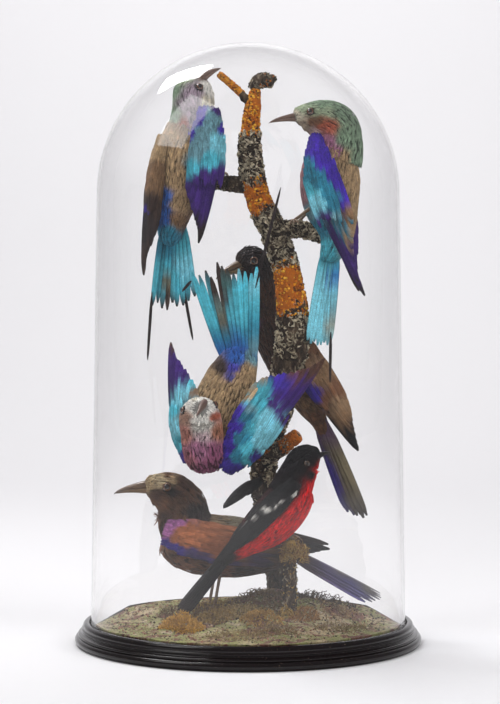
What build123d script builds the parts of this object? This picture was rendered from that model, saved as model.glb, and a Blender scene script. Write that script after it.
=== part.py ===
from build123d import *

import os

# Bell jar dome with its mounted display: a turned, ebonised plinth with a routed groove, a blown glass
# dome that stands in the groove and lifts straight off, and inside it a moulded groundwork with a
# lichened trunk, a post and six mounted birds.
# Frame: millimetres, +Z up, origin at the middle of the underside, -Y towards the viewer.

# ---------------------------------------------------------------- driving dimensions
PLINTH_RADIUS = 190.0
RIM_HEIGHT = 24.0
PLATFORM_HEIGHT = 21.0
BAIZE_THICKNESS = 1.2
BAIZE_RADIUS = 178.0

DOME_FOOT_RADIUS = 172.5
DOME_SHOULDER_RADIUS = 166.0
DOME_TOP = 656.0
GLASS_WALL = 4.0

GROOVE_CLEARANCE = 1.5
GROOVE_FLOOR = 14.0
SEAT_FELT_THICKNESS = 1.5

GROUND_THICKNESS = 5.0
GROUND_GAP = 1.5
SCREW_RADIUS = 2.5
SCREW_HEAD_RADIUS = 5.0

FIT_GAP = 0.3
EYE_RADIUS = 4.2
WIRE_RADIUS = 0.9
LEG_RADIUS = 1.7
FOOT_RADIUS = 2.5
STREAMER_RADIUS = 0.9

# worked out from the above
GROOVE_OUTER = DOME_FOOT_RADIUS + GROOVE_CLEARANCE
GROOVE_INNER = DOME_FOOT_RADIUS - GLASS_WALL - GROOVE_CLEARANCE
DOME_FOOT = GROOVE_FLOOR + SEAT_FELT_THICKNESS
DOME_CENTRE = DOME_TOP - DOME_SHOULDER_RADIUS
GROUND_RADIUS = GROOVE_INNER - GROUND_GAP
GROUND_TOP = PLATFORM_HEIGHT + GROUND_THICKNESS

# The trunk leans from the back of the ground to the top of the dome: (x, y, z, radius)
TRUNK = [
    (37, 108, PLATFORM_HEIGHT, 16),
    (37, 108, 45, 16),
    (33, 106, 78, 15),
    (25, 96, 122, 14),
    (17, 62, 170, 13),
    (22, 32, 219, 14),
    (36, 20, 264, 16),
    (47, 15, 315, 18),
    (49, 12, 364, 17),
    (42, 8, 408, 14),
    (28, 4, 450, 13),
    (11, 0, 487, 13),
    (2, 0, 529, 11.5),
    (3, 0, 568, 9.5),
    (6, 0, 595, 7),
    (10, 0, 612, 6),
]
LIMBS = {
    "top_knob": [(4, 1, 618, 5), (18, -1, 616, 8), (30, -3, 612, 6)],
    "top_twig": [(1, 0, 594, 3.5), (-14, -1, 608, 3.5), (-33, -2, 624, 3)],
    "perch_left": [(0, 0, 500, 8), (-20, 3, 503, 8), (-46, 10, 506, 6)],
    "perch_right": [(30, 4, 452, 8), (57, 2, 453, 8), (92, 2, 442, 6)],
    "lower_stub": [(20, 32, 200, 9), (38, 22, 212, 8), (56, 14, 227, 6.5)],
}
POST_XY = (46, -12)
POST_TOP = 113.0
POST_RADIUS = 7.5

# Mounds of the groundwork: (x, y, radius, height above the disc)
MOUNDS = [(34, 78, 72, 24), (20, -5, 90, 8), (-80, 50, 60, 7), (92, 30, 56, 10)]

# Moss tufts laid on the groundwork: (x, y, radius, height)
MOSS = [(-70, -72, 24, 13), (-34, -20, 18, 10), (14, -44, 18, 9)]

# Crusts of lichen round the trunk: (index of the trunk station below it, share of the way up, length)
ORANGE_LICHEN = [(12, 0.97, 24), (10, 0.55, 14), (8, 0.4, 22)]
GREY_LICHEN = [(11, 0.95, 18), (9, 0.45, 18), (7, 0.5, 22), (5, 0.6, 14)]


def bird(**facts):
    """One mounted bird. Points are (x, y, z); girths are half widths (across, back to breast)."""
    return facts


BIRDS = {
    # upright at the upper left, its back to the viewer, bill raised to the right
    "left_roller": bird(
        bill=[(-46, -8, 620), (-35, -8, 630)],
        head=((-57, -8, 603), 24, 19),
        spine=[(-64, -9, 580), (-67, -8, 548), (-72, -6, 509), (-80, -4, 470), (-86, -2, 445)],
        girths=[(19, 20), (27, 23), (28, 24), (18, 16), (9, 7)],
        back=(-0.40, -0.92, 0.0),
        wings={
            "right": dict(root=(-34, -22, 572), tip=(-52, -12, 437), out=(0.75, -0.66, 0.0), width=44),
            "left": dict(root=(-92, -16, 556), tip=(-116, -8, 402), out=(-0.90, -0.30, 0.2), width=40),
        },
        tail=[(-86, -2, 448), (-84, 4, 375), 30],
        streamers=[[(-106, 4, 378), (-111, 4, 309)], [(-71, 3, 390), (-61, 4, 331)]],
        feet=[((-50, 12, 520), (-27, 10, 514)), ((-54, 16, 516), (-38, 14, 512))],
        perch="perch_left",
        eye_lift=3,
    ),
    # upright at the upper right, facing left, its left side to the viewer
    "right_roller": bird(
        bill=[(50, -8, 575), (24, -12, 573)],
        head=((78, -6, 573), 30, 24),
        spine=[(94, -3, 552), (94, -1, 510), (95, 0, 474), (87, 0, 441), (81, 0, 419)],
        girths=[(20, 27), (26, 34), (25, 31), (16, 19), (8, 8)],
        back=(0.96, -0.25, 0.1),
        wings={
            "left": dict(root=(80, -26, 545), tip=(120, -16, 378), out=(-0.1, -0.98, 0.1), width=46),
            "right": dict(root=(84, 25, 540), tip=(124, 12, 384), out=(-0.1, 0.98, 0.1), width=46),
        },
        tail=[(81, 0, 424), (77, 0, 326), 16],
        streamers=[[(89, 0, 330), (90, 0, 282)]],
        feet=[((69, -12, 476), (50, -5, 462)), ((69, 13, 476), (56, 8, 462))],
        perch="perch_right",
        eye_lift=2,
    ),
    # head down in the middle, its back and face to the viewer, wings half open
    "diving_roller": bird(
        bill=[(-49, -60, 262), (-52, -86, 270)],
        head=((-48, -44, 254), 24, 20),
        spine=[(-43, -20, 202), (-40, -12, 222), (-33, -4, 256), (-22, 0, 293), (-15, 2, 320)],
        girths=[(17, 17), (26, 25), (25, 23), (17, 15), (8, 7)],
        back=(0.05, -0.99, -0.1),
        wings={
            "left": dict(root=(-20, -28, 196), tip=(78, -26, 306), out=(0.35, -0.92, -0.2), width=58),
            "right": dict(root=(-68, -14, 200), tip=(-86, -10, 328), out=(-0.80, -0.58, -0.1), width=46),
        },
        tail=[(-15, 2, 314), (-26, -14, 396), 38],
        streamers=[[(4, -13, 386), (31, -30, 490)], [(-50, -12, 376), (-70, -24, 388)]],
        feet=[((-10, 8, 268), (14, 20, 262)), ((-6, 8, 284), (20, 18, 282))],
        perch="trunk",
        eye_lift=2,
        neck_from=((-48, -42, 246), 18),
    ),
    # clinging behind the trunk, seen past its right-hand side
    "rear_roller": bird(
        bill=[(-20, 50, 416), (-42, 46, 408)],
        head=((-1, 58, 418), 24, 20),
        spine=[(8, 64, 394), (24, 70, 352), (44, 70, 306), (72, 68, 256), (87, 64, 226)],
        girths=[(18, 19), (26, 25), (25, 24), (18, 16), (9, 8)],
        back=(0.90, 0.0, 0.42),
        wings={
            "left": dict(root=(42, 46, 350), tip=(124, 48, 208), out=(0.15, -0.95, 0.1), width=40),
            "right": dict(root=(44, 96, 350), tip=(126, 82, 212), out=(0.15, 0.95, 0.1), width=40),
        },
        tail=[(86, 64, 230), (124, 58, 132), 15],
        streamers=[],
        feet=[((26, 56, 314), (36, 34, 312)), ((28, 58, 298), (36, 36, 292))],
        perch="trunk",
        eye_lift=2,
    ),
    # large roller low at the left, level, facing left
    "lower_roller": bird(
        bill=[(-112, 28, 167), (-150, 25, 163)],
        head=((-86, 32, 162), 31, 23),
        spine=[(-88, 35, 138), (-68, 39, 112), (-20, 43, 108), (30, 45, 100), (56, 45, 88)],
        girths=[(21, 22), (31, 35), (31, 36), (22, 25), (10, 9)],
        back=(0.1, -0.05, 0.99),
        wings={
            "left": dict(root=(-92, 10, 122), tip=(90, 24, 100), out=(0.0, -0.98, 0.15), width=50),
            "right": dict(root=(-88, 70, 122), tip=(92, 62, 102), out=(0.0, 0.98, 0.15), width=50),
        },
        tail=[(54, 45, 90), (146, 36, 46), 22],
        streamers=[],
        feet=[((-30, 30, 78), (-38, 26, 30)), ((-36, 58, 78), (-44, 52, 30))],
        perch="groundwork",
        eye_lift=2,
    ),
    # small red-breasted shrike in front, on the post, facing right
    "shrike": bird(
        bill=[(72, -40, 208), (88, -42, 211)],
        head=((58, -36, 202), 19, 17),
        spine=[(49, -34, 184), (38, -32, 160), (16, -30, 132), (-10, -30, 108), (-25, -31, 92)],
        girths=[(16, 17), (22, 24), (22, 23), (15, 14), (7, 6)],
        back=(-0.62, -0.55, 0.56),
        wings={
            "right": dict(root=(56, -54, 172), tip=(-44, -46, 80), out=(0.15, -0.97, -0.2), width=30),
            "left": dict(root=(20, -14, 184), tip=(-32, -8, 138), out=(-0.5, 0.4, 0.77), width=26),
        },
        tail=[(-24, -31, 96), (-72, -38, 40), 9],
        streamers=[],
        feet=[((38, -22, 140), (43, -15, 115)), ((46, -18, 146), (49, -9, 115))],
        perch="post",
        eye_lift=2,
    ),
}


# ---------------------------------------------------------------- helpers
def unit(v):
    return Vector(*v).normalized()


def between(a, b, share):
    return Vector(*a) + (Vector(*b) - Vector(*a)) * share


def crossing_plane(at, along, across):
    """A plane at a point, facing along a direction, whose x runs as nearly across as it can."""
    z = unit(along)
    x = Vector(*across) - z * Vector(*across).dot(z)
    return Plane(origin=tuple(at), x_dir=tuple(x), z_dir=tuple(z))


def tube_stations(points):
    """(place, direction, radius) at each station of a tube of varying radius."""
    stations = []
    for i, (x, y, z, r) in enumerate(points):
        before = points[max(i - 1, 0)]
        after = points[min(i + 1, len(points) - 1)]
        along = Vector(*after[:3]) - Vector(*before[:3])
        stations.append((Vector(x, y, z), along, r))
    return stations


def tube(points, grow=0.0):
    """A limb of varying radius through (x, y, z, radius) stations."""
    with BuildPart() as limb:
        for at, along, radius in tube_stations(points):
            with BuildSketch(crossing_plane(at, along, (0, 1, 0))):
                Circle(radius + grow)
        loft(ruled=True)
    return limb.part


def rod(a, b, radius, end_radius=None):
    """A round bar from a to b, tapering when it has an end radius."""
    a, b = Vector(*a), Vector(*b)
    plane = Plane(origin=tuple(a), z_dir=tuple(b - a))
    with BuildPart() as bar:
        with BuildSketch(plane):
            Circle(radius)
        with BuildSketch(plane.offset((b - a).length)):
            Circle(end_radius or radius)
        loft(ruled=True)
    return bar.part


def ball(at, radius):
    with BuildPart() as made:
        with Locations(tuple(at)):
            Sphere(radius)
    return made.part


def egg(at, along, half_length, radius, across):
    """A long round shape about a direction, made of round sections."""
    middle = crossing_plane(at, along, across)
    with BuildPart() as made:
        for share in (-0.98, -0.85, -0.5, 0.0, 0.5, 0.85, 0.98):
            with BuildSketch(middle.offset(share * half_length)):
                Circle(radius * (1 - share**2) ** 0.5)
        loft()
    return made.part


def cap(x, y, base, radius, height):
    """A low round mound standing on a level: the top slice of a ball."""
    ball_radius = (radius**2 + height**2) / (2 * height)
    with BuildPart() as made:
        with Locations((x, y, base + height - ball_radius)):
            Sphere(ball_radius)
        with Locations((x, y, base)):
            size = 3 * ball_radius
            Box(size, size, size, align=(Align.CENTER, Align.CENTER, Align.MAX), mode=Mode.SUBTRACT)
    return made.part


def ground_level(x, y):
    """Height of the groundwork at a point."""
    level = GROUND_TOP
    for mound_x, mound_y, radius, height in MOUNDS:
        ball_radius = (radius**2 + height**2) / (2 * height)
        away = (x - mound_x) ** 2 + (y - mound_y) ** 2
        if away < ball_radius**2:
            level = max(level, GROUND_TOP - 1 + height - ball_radius + (ball_radius**2 - away) ** 0.5)
    return level


def joined(pieces, label):
    """Several shapes as one node: fused where they touch, separate solids where they don't."""
    with BuildPart() as node:
        for piece in pieces:
            add(piece)
    node.part.label = label
    return node.part


def less(shape, cutters, label):
    """The shape with cutters taken out of it."""
    with BuildPart() as node:
        add(shape)
        for cutter in cutters:
            add(cutter, mode=Mode.SUBTRACT)
    node.part.label = label
    return node.part


def write(part):
    export_step(part, f"parts/{part.label}.step")


# ---------------------------------------------------------------- plinth, dome and their felts
def make_plinth():
    """Turned plinth: the moulded edge, the groove for the glass and the raised platform inside it."""
    with BuildPart() as plinth:
        with BuildSketch(Plane.XZ):
            with BuildLine():
                Polyline((0, BAIZE_THICKNESS), (BAIZE_RADIUS + 1, BAIZE_THICKNESS), (BAIZE_RADIUS + 1, 0))
                Line((BAIZE_RADIUS + 1, 0), (PLINTH_RADIUS - 2.5, 0))
                Line((PLINTH_RADIUS - 2.5, 0), (PLINTH_RADIUS - 1, 1.2))
                ThreePointArc((PLINTH_RADIUS - 1, 1.2), (PLINTH_RADIUS, 5), (PLINTH_RADIUS - 2.4, 9))
                Line((PLINTH_RADIUS - 2.4, 9), (PLINTH_RADIUS - 4.4, 9.4))
                ThreePointArc(
                    (PLINTH_RADIUS - 4.4, 9.4), (PLINTH_RADIUS - 3.4, 11), (PLINTH_RADIUS - 5, 12.4)
                )
                ThreePointArc(
                    (PLINTH_RADIUS - 5, 12.4), (PLINTH_RADIUS - 7.6, 13.4), (PLINTH_RADIUS - 8, 15.2)
                )
                ThreePointArc(
                    (PLINTH_RADIUS - 8, 15.2), (PLINTH_RADIUS - 7.2, 16.4), (PLINTH_RADIUS - 8.6, 17.4)
                )
                ThreePointArc(
                    (PLINTH_RADIUS - 8.6, 17.4), (PLINTH_RADIUS - 9.4, 21), (PLINTH_RADIUS - 12.4, RIM_HEIGHT)
                )
                Polyline(
                    (PLINTH_RADIUS - 12.4, RIM_HEIGHT),
                    (GROOVE_OUTER + 0.8, RIM_HEIGHT),
                    (GROOVE_OUTER, RIM_HEIGHT - 0.8),
                    (GROOVE_OUTER, GROOVE_FLOOR),
                    (GROOVE_INNER, GROOVE_FLOOR),
                    (GROOVE_INNER, PLATFORM_HEIGHT - 0.8),
                    (GROOVE_INNER - 0.8, PLATFORM_HEIGHT),
                    (0, PLATFORM_HEIGHT),
                    (0, BAIZE_THICKNESS),
                )
            make_face()
        revolve(axis=Axis.Z)
        for x, y in (TRUNK[0][:2], POST_XY):
            with Locations(Location((x, y, BAIZE_THICKNESS), (180, 0, 0))):
                CounterSinkHole(SCREW_RADIUS + 0.3, SCREW_HEAD_RADIUS + 0.4, depth=PLATFORM_HEIGHT)
    plinth.part.label = "plinth"
    return plinth.part


def make_baize():
    with BuildPart() as baize:
        with BuildSketch():
            Circle(BAIZE_RADIUS)
        extrude(amount=BAIZE_THICKNESS)
    baize.part.label = "baize_disc"
    return baize.part


def make_seat_felt():
    with BuildPart() as felt:
        with BuildSketch(Plane.XY.offset(GROOVE_FLOOR)):
            Circle(GROOVE_OUTER - 0.4)
            Circle(GROOVE_INNER + 0.4, mode=Mode.SUBTRACT)
        extrude(amount=SEAT_FELT_THICKNESS)
    felt.part.label = "seat_felt"
    return felt.part


def make_dome():
    """Blown glass: slightly tapering wall, round crown, fire-polished foot."""
    foot_inner = DOME_FOOT_RADIUS - GLASS_WALL
    shoulder_inner = DOME_SHOULDER_RADIUS - GLASS_WALL
    diagonal = 0.5**0.5
    with BuildPart() as dome:
        with BuildSketch(Plane.XZ):
            with BuildLine():
                Line((DOME_FOOT_RADIUS, DOME_FOOT + 2), (DOME_SHOULDER_RADIUS, DOME_CENTRE))
                ThreePointArc(
                    (DOME_SHOULDER_RADIUS, DOME_CENTRE),
                    (DOME_SHOULDER_RADIUS * diagonal, DOME_CENTRE + DOME_SHOULDER_RADIUS * diagonal),
                    (0, DOME_TOP),
                )
                Line((0, DOME_TOP), (0, DOME_TOP - GLASS_WALL))
                ThreePointArc(
                    (0, DOME_TOP - GLASS_WALL),
                    (shoulder_inner * diagonal, DOME_CENTRE + shoulder_inner * diagonal),
                    (shoulder_inner, DOME_CENTRE),
                )
                Line((shoulder_inner, DOME_CENTRE), (foot_inner, DOME_FOOT + 2))
                ThreePointArc(
                    (foot_inner, DOME_FOOT + 2),
                    (DOME_FOOT_RADIUS - GLASS_WALL / 2, DOME_FOOT),
                    (DOME_FOOT_RADIUS, DOME_FOOT + 2),
                )
            make_face()
        revolve(axis=Axis.Z)
    dome.part.label = "glass_dome"
    return dome.part


# ---------------------------------------------------------------- groundwork, trunk and post
def make_groundwork():
    """Moulded ground on the platform, with clearance where the trunk and the post come through."""
    mounds = [cap(x, y, GROUND_TOP - 1, radius, height) for x, y, radius, height in MOUNDS]
    with BuildPart() as disc:
        with BuildSketch(Plane.XY.offset(PLATFORM_HEIGHT)):
            Circle(GROUND_RADIUS)
        extrude(amount=GROUND_THICKNESS)
        fillet(disc.edges().group_by(Axis.Z)[-1], GROUND_THICKNESS * 0.6)
        for mound in mounds:
            add(mound)
        for x, y, radius in ((*TRUNK[0][:2], TRUNK[0][3]), (*POST_XY, POST_RADIUS)):
            with BuildSketch(Plane.XY.offset(PLATFORM_HEIGHT)):
                with Locations((x, y)):
                    Circle(radius + FIT_GAP)
            extrude(amount=60, mode=Mode.SUBTRACT)
    disc.part.label = "groundwork"
    return disc.part


def make_post():
    x, y = POST_XY
    post = tube(
        [
            (x, y, PLATFORM_HEIGHT, POST_RADIUS),
            (x, y, 60, POST_RADIUS),
            (x, y, 90, POST_RADIUS - 0.5),
            (x, y, POST_TOP, POST_RADIUS),
        ]
    )
    post.label = "post"
    return post


def screw(x, y):
    """A countersunk wood screw up through the plinth."""
    with BuildPart() as made:
        with Locations((x, y, BAIZE_THICKNESS)):
            Cone(SCREW_HEAD_RADIUS, SCREW_RADIUS, 2.8, align=(Align.CENTER, Align.CENTER, Align.MIN))
            Cylinder(SCREW_RADIUS, 30, align=(Align.CENTER, Align.CENTER, Align.MIN))
        with Locations((x, y, BAIZE_THICKNESS)):
            Box(6, 1.2, 2, mode=Mode.SUBTRACT)
    return made.part


def lichen_sleeves(places, thickness):
    """Crusts that wrap the trunk at some of its stations."""
    sleeves = []
    for index, share, length in places:
        low, high = TRUNK[index], TRUNK[index + 1]
        here = [a + (b - a) * share for a, b in zip(low, high)]
        along = unit([b - a for a, b in zip(low[:3], high[:3])])
        radius = max(low[3], high[3]) + thickness
        at = Vector(*here[:3])
        ends = [(at - along * length / 2), at, (at + along * length / 2)]
        sleeves.append(
            tube([(*tuple(p), r) for p, r in zip(ends, (radius - 1, radius, radius - 1))])
        )
    return sleeves


# ---------------------------------------------------------------- birds
def bird_body(b, grow=0.0):
    """Skin over its former: torso, neck and head."""
    spine = [Vector(*p) for p in b["spine"]]
    back = Vector(*b["back"])
    head_at, head_half_length, head_radius = b["head"]
    neck_at, neck_radius = b.get("neck_from", (head_at, head_radius * 0.82))
    along_bill = Vector(*b["bill"][1]) - Vector(*b["bill"][0])
    down_neck = spine[1] - Vector(*head_at)
    head = egg(head_at, along_bill, head_half_length + grow, head_radius + grow, down_neck)
    neck = rod(neck_at, spine[1], neck_radius + grow, min(b["girths"][1]) * 0.9 + grow)
    with BuildPart() as body:
        for i, (at, (across, deep)) in enumerate(zip(spine, b["girths"])):
            along = spine[min(i + 1, len(spine) - 1)] - spine[max(i - 1, 0)]
            side = along.cross(back)
            with BuildSketch(crossing_plane(at, along, side)):
                Ellipse(across + grow, deep + grow)
        loft()
        add(neck)
        add(head)
    return body.part


def bird_eyes(b, radius):
    """A glass eye on each side of the head."""
    head_at, half_length, head_radius = b["head"]
    forward = unit(Vector(*b["bill"][1]) - Vector(*b["bill"][0]))
    side, up = head_directions(b)
    places = [
        Vector(*head_at) + forward * half_length * 0.42 + up * b["eye_lift"] + side * s * head_radius * 0.86
        for s in (-1, 1)
    ]
    return [ball(p, radius) for p in places]


def head_directions(b):
    """(sideways, upwards) of the head, from the bill and the line of the neck."""
    forward = unit(Vector(*b["bill"][1]) - Vector(*b["bill"][0]))
    down_neck = Vector(*b["spine"][1]) - Vector(*b["head"][0])
    side = forward.cross(down_neck).normalized()
    up = side.cross(forward).normalized()
    if up.dot(down_neck) > 0:
        up = up * -1
    return side, up


def bird_bill(b):
    base, tip = b["bill"]
    start = Vector(*base) - (Vector(*tip) - Vector(*base)) * 0.3
    return rod(tuple(start), tip, 7.0, 1.0)


def bird_wing(w, grow=0.0):
    """A folded wing: broad at the coverts, tapering to the flight feathers' tips."""
    root, tip = Vector(*w["root"]), Vector(*w["tip"])
    along = tip - root
    wide = along.cross(Vector(*w["out"]))
    thick = 7.0
    shares = [(0.0, 0.28, 0.6), (0.22, 0.5, 1.0), (0.55, 0.42, 0.8), (0.8, 0.24, 0.5), (1.0, 0.1, 0.25)]
    with BuildPart() as wing:
        for place, width_share, thick_share in shares:
            with BuildSketch(crossing_plane(between(root, tip, place), along, wide)):
                Ellipse(w["width"] * width_share + grow, thick * thick_share + grow)
        loft()
    return wing.part


def bird_tail(b, grow=0.0):
    """The fan of tail feathers, with its long outer streamers where the bird has them."""
    base, end, half_width = b["tail"]
    along = Vector(*end) - Vector(*base)
    wide = along.cross(Vector(*b["back"]))
    streamers = [rod(start, finish, STREAMER_RADIUS) for start, finish in b["streamers"]]
    with BuildPart() as tail:
        for place, width, thick in ((0.0, 7, 4), (0.35, 0.45 * half_width + 3, 3), (1.0, half_width, 2)):
            with BuildSketch(crossing_plane(between(base, end, place), along, wide)):
                Ellipse(width + grow, thick + grow)
        loft(ruled=True)
        for streamer in streamers:
            add(streamer)
    return tail.part


def nearest_on(points, place):
    """(nearest point of a limb's axis, direction there, radius there)."""
    best = None
    for (*a, ra), (*b, rb) in zip(points, points[1:]):
        start, run = Vector(*a), Vector(*b) - Vector(*a)
        share = min(1.0, max(0.0, (place - start).dot(run) / run.dot(run)))
        at = start + run * share
        found = ((place - at).length, at, run.normalized(), ra + (rb - ra) * share)
        if best is None or found[0] < best[0]:
            best = found
    return best[1:]


def footing(b, near):
    """Where a foot stands: (place, way out of the perch, way along the perch)."""
    place = Vector(*near)
    clear = FOOT_RADIUS + FIT_GAP
    if b["perch"] == "post":
        return Vector(place.X, place.Y, POST_TOP + clear), Vector(0, 0, 1), Vector(1, 0, 0)
    if b["perch"] == "groundwork":
        level = ground_level(place.X, place.Y) + clear + 1.5
        return Vector(place.X, place.Y, level), Vector(0, 0, 1), Vector(0, 1, 0)
    at, along, radius = nearest_on(TRUNK if b["perch"] == "trunk" else LIMBS[b["perch"]], place)
    away = place - at
    out = (away - along * away.dot(along)).normalized()
    return at + out * (radius + clear + 0.5), out, along


def bird_legs(b):
    """Each leg's shank, let into the body, with its foot and toes laid across the perch."""
    legs = []
    for top, near in b["feet"]:
        foot, out, along = footing(b, near)
        across = out.cross(along)
        hip = Vector(*top) + (Vector(*top) - foot) * 0.25
        legs.append(rod(tuple(hip), tuple(foot), LEG_RADIUS + 0.5, LEG_RADIUS))
        legs.append(rod(tuple(foot - out * FOOT_RADIUS), tuple(foot + out * FOOT_RADIUS), FOOT_RADIUS, 2.0))
        for ahead, aside, reach in ((1, 0, 10), (1, 0.6, 9), (1, -0.6, 9), (-1, 0, 8)):
            toe = (across * ahead + along * aside).normalized()
            legs.append(rod(tuple(foot - toe * 0.6), tuple(foot + toe * reach), LEG_RADIUS - 0.2, 0.7))
    return legs


def mounting_wires():
    """The wires that run out of each leg into the wood or the ground."""
    wires = []
    for b in BIRDS.values():
        for top, near in b["feet"]:
            foot, out, along = footing(b, near)
            wires.append(rod(tuple(foot), tuple(foot - out * 10), WIRE_RADIUS))
    return wires


def write_bird(name, b):
    """Each bird's pieces, trimmed so that no piece stands in another."""
    body_room = bird_body(b, FIT_GAP)
    eyes = bird_eyes(b, EYE_RADIUS)
    sockets = bird_eyes(b, EYE_RADIUS + FIT_GAP / 2)
    write(less(bird_body(b), sockets, f"{name}_body"))
    write(joined(eyes, f"{name}_eyes"))
    write(less(bird_bill(b), [body_room], f"{name}_bill"))
    taken = [body_room]
    for side, w in b["wings"].items():
        write(less(bird_wing(w), taken, f"{name}_{side}_wing"))
        taken = taken + [bird_wing(w, FIT_GAP)]
    write(less(bird_tail(b), taken, f"{name}_tail"))
    write(joined(bird_legs(b), f"{name}_legs"))


# ---------------------------------------------------------------- build everything
def main():
    os.makedirs("parts", exist_ok=True)
    write(make_plinth())
    write(make_baize())
    write(make_seat_felt())
    write(make_dome())
    ground = make_groundwork()
    write(ground)
    write(make_post())
    trunk = tube(TRUNK)
    trunk.label = "trunk"
    write(trunk)
    trunk_room = tube(TRUNK, FIT_GAP)
    post_room = rod((*POST_XY, 0), (*POST_XY, POST_TOP + 0.2), POST_RADIUS + FIT_GAP)
    sitter_room = bird_body(BIRDS["right_roller"], FIT_GAP)
    for name, points in LIMBS.items():
        cutters = [trunk_room, sitter_room] if name == "perch_right" else [trunk_room]
        write(less(tube(points), cutters, name))
    write(joined([screw(*TRUNK[0][:2]), screw(*POST_XY)], "fixing_screws"))
    tufts = [cap(x, y, ground_level(x, y) + 0.4, radius, height) for x, y, radius, height in MOSS]
    write(less(joined(tufts, "tufts"), [ground], "moss_tufts"))
    collar = rod((*POST_XY, POST_TOP - 16), (*POST_XY, POST_TOP - 4), POST_RADIUS + 3, POST_RADIUS + 6)
    write(less(collar, [post_room], "post_moss"))
    write(less(joined(lichen_sleeves(ORANGE_LICHEN, 2), "crusts"), [trunk_room], "orange_lichen"))
    write(less(joined(lichen_sleeves(GREY_LICHEN, 3), "crusts"), [trunk_room], "grey_lichen"))
    write(joined(mounting_wires(), "mounting_wires"))
    for name, b in BIRDS.items():
        write_bird(name, b)


main()
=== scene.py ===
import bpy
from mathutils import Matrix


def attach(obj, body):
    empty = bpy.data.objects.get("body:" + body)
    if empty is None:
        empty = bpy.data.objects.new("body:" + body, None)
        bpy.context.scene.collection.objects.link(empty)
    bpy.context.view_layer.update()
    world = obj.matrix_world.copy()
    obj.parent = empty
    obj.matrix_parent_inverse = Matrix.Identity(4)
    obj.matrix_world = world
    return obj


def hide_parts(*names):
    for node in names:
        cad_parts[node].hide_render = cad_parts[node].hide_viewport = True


bl_info = {
    "name": "Bell Jar Dome",
    "version": (1, 0, 0),
    "blender": (4, 5, 0),
    "location": "3D View > Sidebar > Bell Jar",
    "description": "Makes a glass display dome over mounted birds on a turned plinth",
    "category": "Add Mesh",
}

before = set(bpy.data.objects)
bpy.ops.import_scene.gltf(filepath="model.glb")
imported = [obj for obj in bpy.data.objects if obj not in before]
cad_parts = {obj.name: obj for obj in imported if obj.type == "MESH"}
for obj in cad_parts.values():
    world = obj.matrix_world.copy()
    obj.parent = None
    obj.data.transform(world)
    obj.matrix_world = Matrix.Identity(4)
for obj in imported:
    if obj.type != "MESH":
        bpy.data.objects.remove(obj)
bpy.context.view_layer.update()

import math
import random

import bmesh
import bpy
from mathutils import Matrix, Vector, noise

MM = 0.001
BASE = "base"
DOME = "dome"


# ---------------------------------------------------------------- small helpers
def mix(a, b, share):
    """Colour a share of the way from a to b."""
    return tuple(x + (y - x) * share for x, y in zip(a, b))


def along_stops(stops, share):
    """Colour at a share of the way along a list of (place, colour) stops."""
    if share <= stops[0][0]:
        return stops[0][1]
    for (low, a), (high, b) in zip(stops, stops[1:]):
        if share <= high:
            return mix(a, b, (share - low) / (high - low))
    return stops[-1][1]


def smooth_run(values, share):
    """Value a share of the way along a smooth run through the values."""
    last = len(values) - 1
    x = min(max(share, 0.0), 1.0) * last
    i = min(int(x), last - 1)
    f = x - i
    p0, p1, p2, p3 = values[max(i - 1, 0)], values[i], values[i + 1], values[min(i + 2, last)]
    bend = p0 * 2 - p1 * 5 + p2 * 4 - p3
    twist = (p1 - p2) * 3 + p3 - p0
    return p1 + (p2 - p0 + (bend + twist * f) * f) * (0.5 * f)


def unit(v):
    return Vector(v).normalized()


def jitter(rng, colour, amount):
    """The colour made a little lighter or darker."""
    k = 1 + rng.uniform(-amount, amount)
    return tuple(c * k for c in colour)


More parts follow.
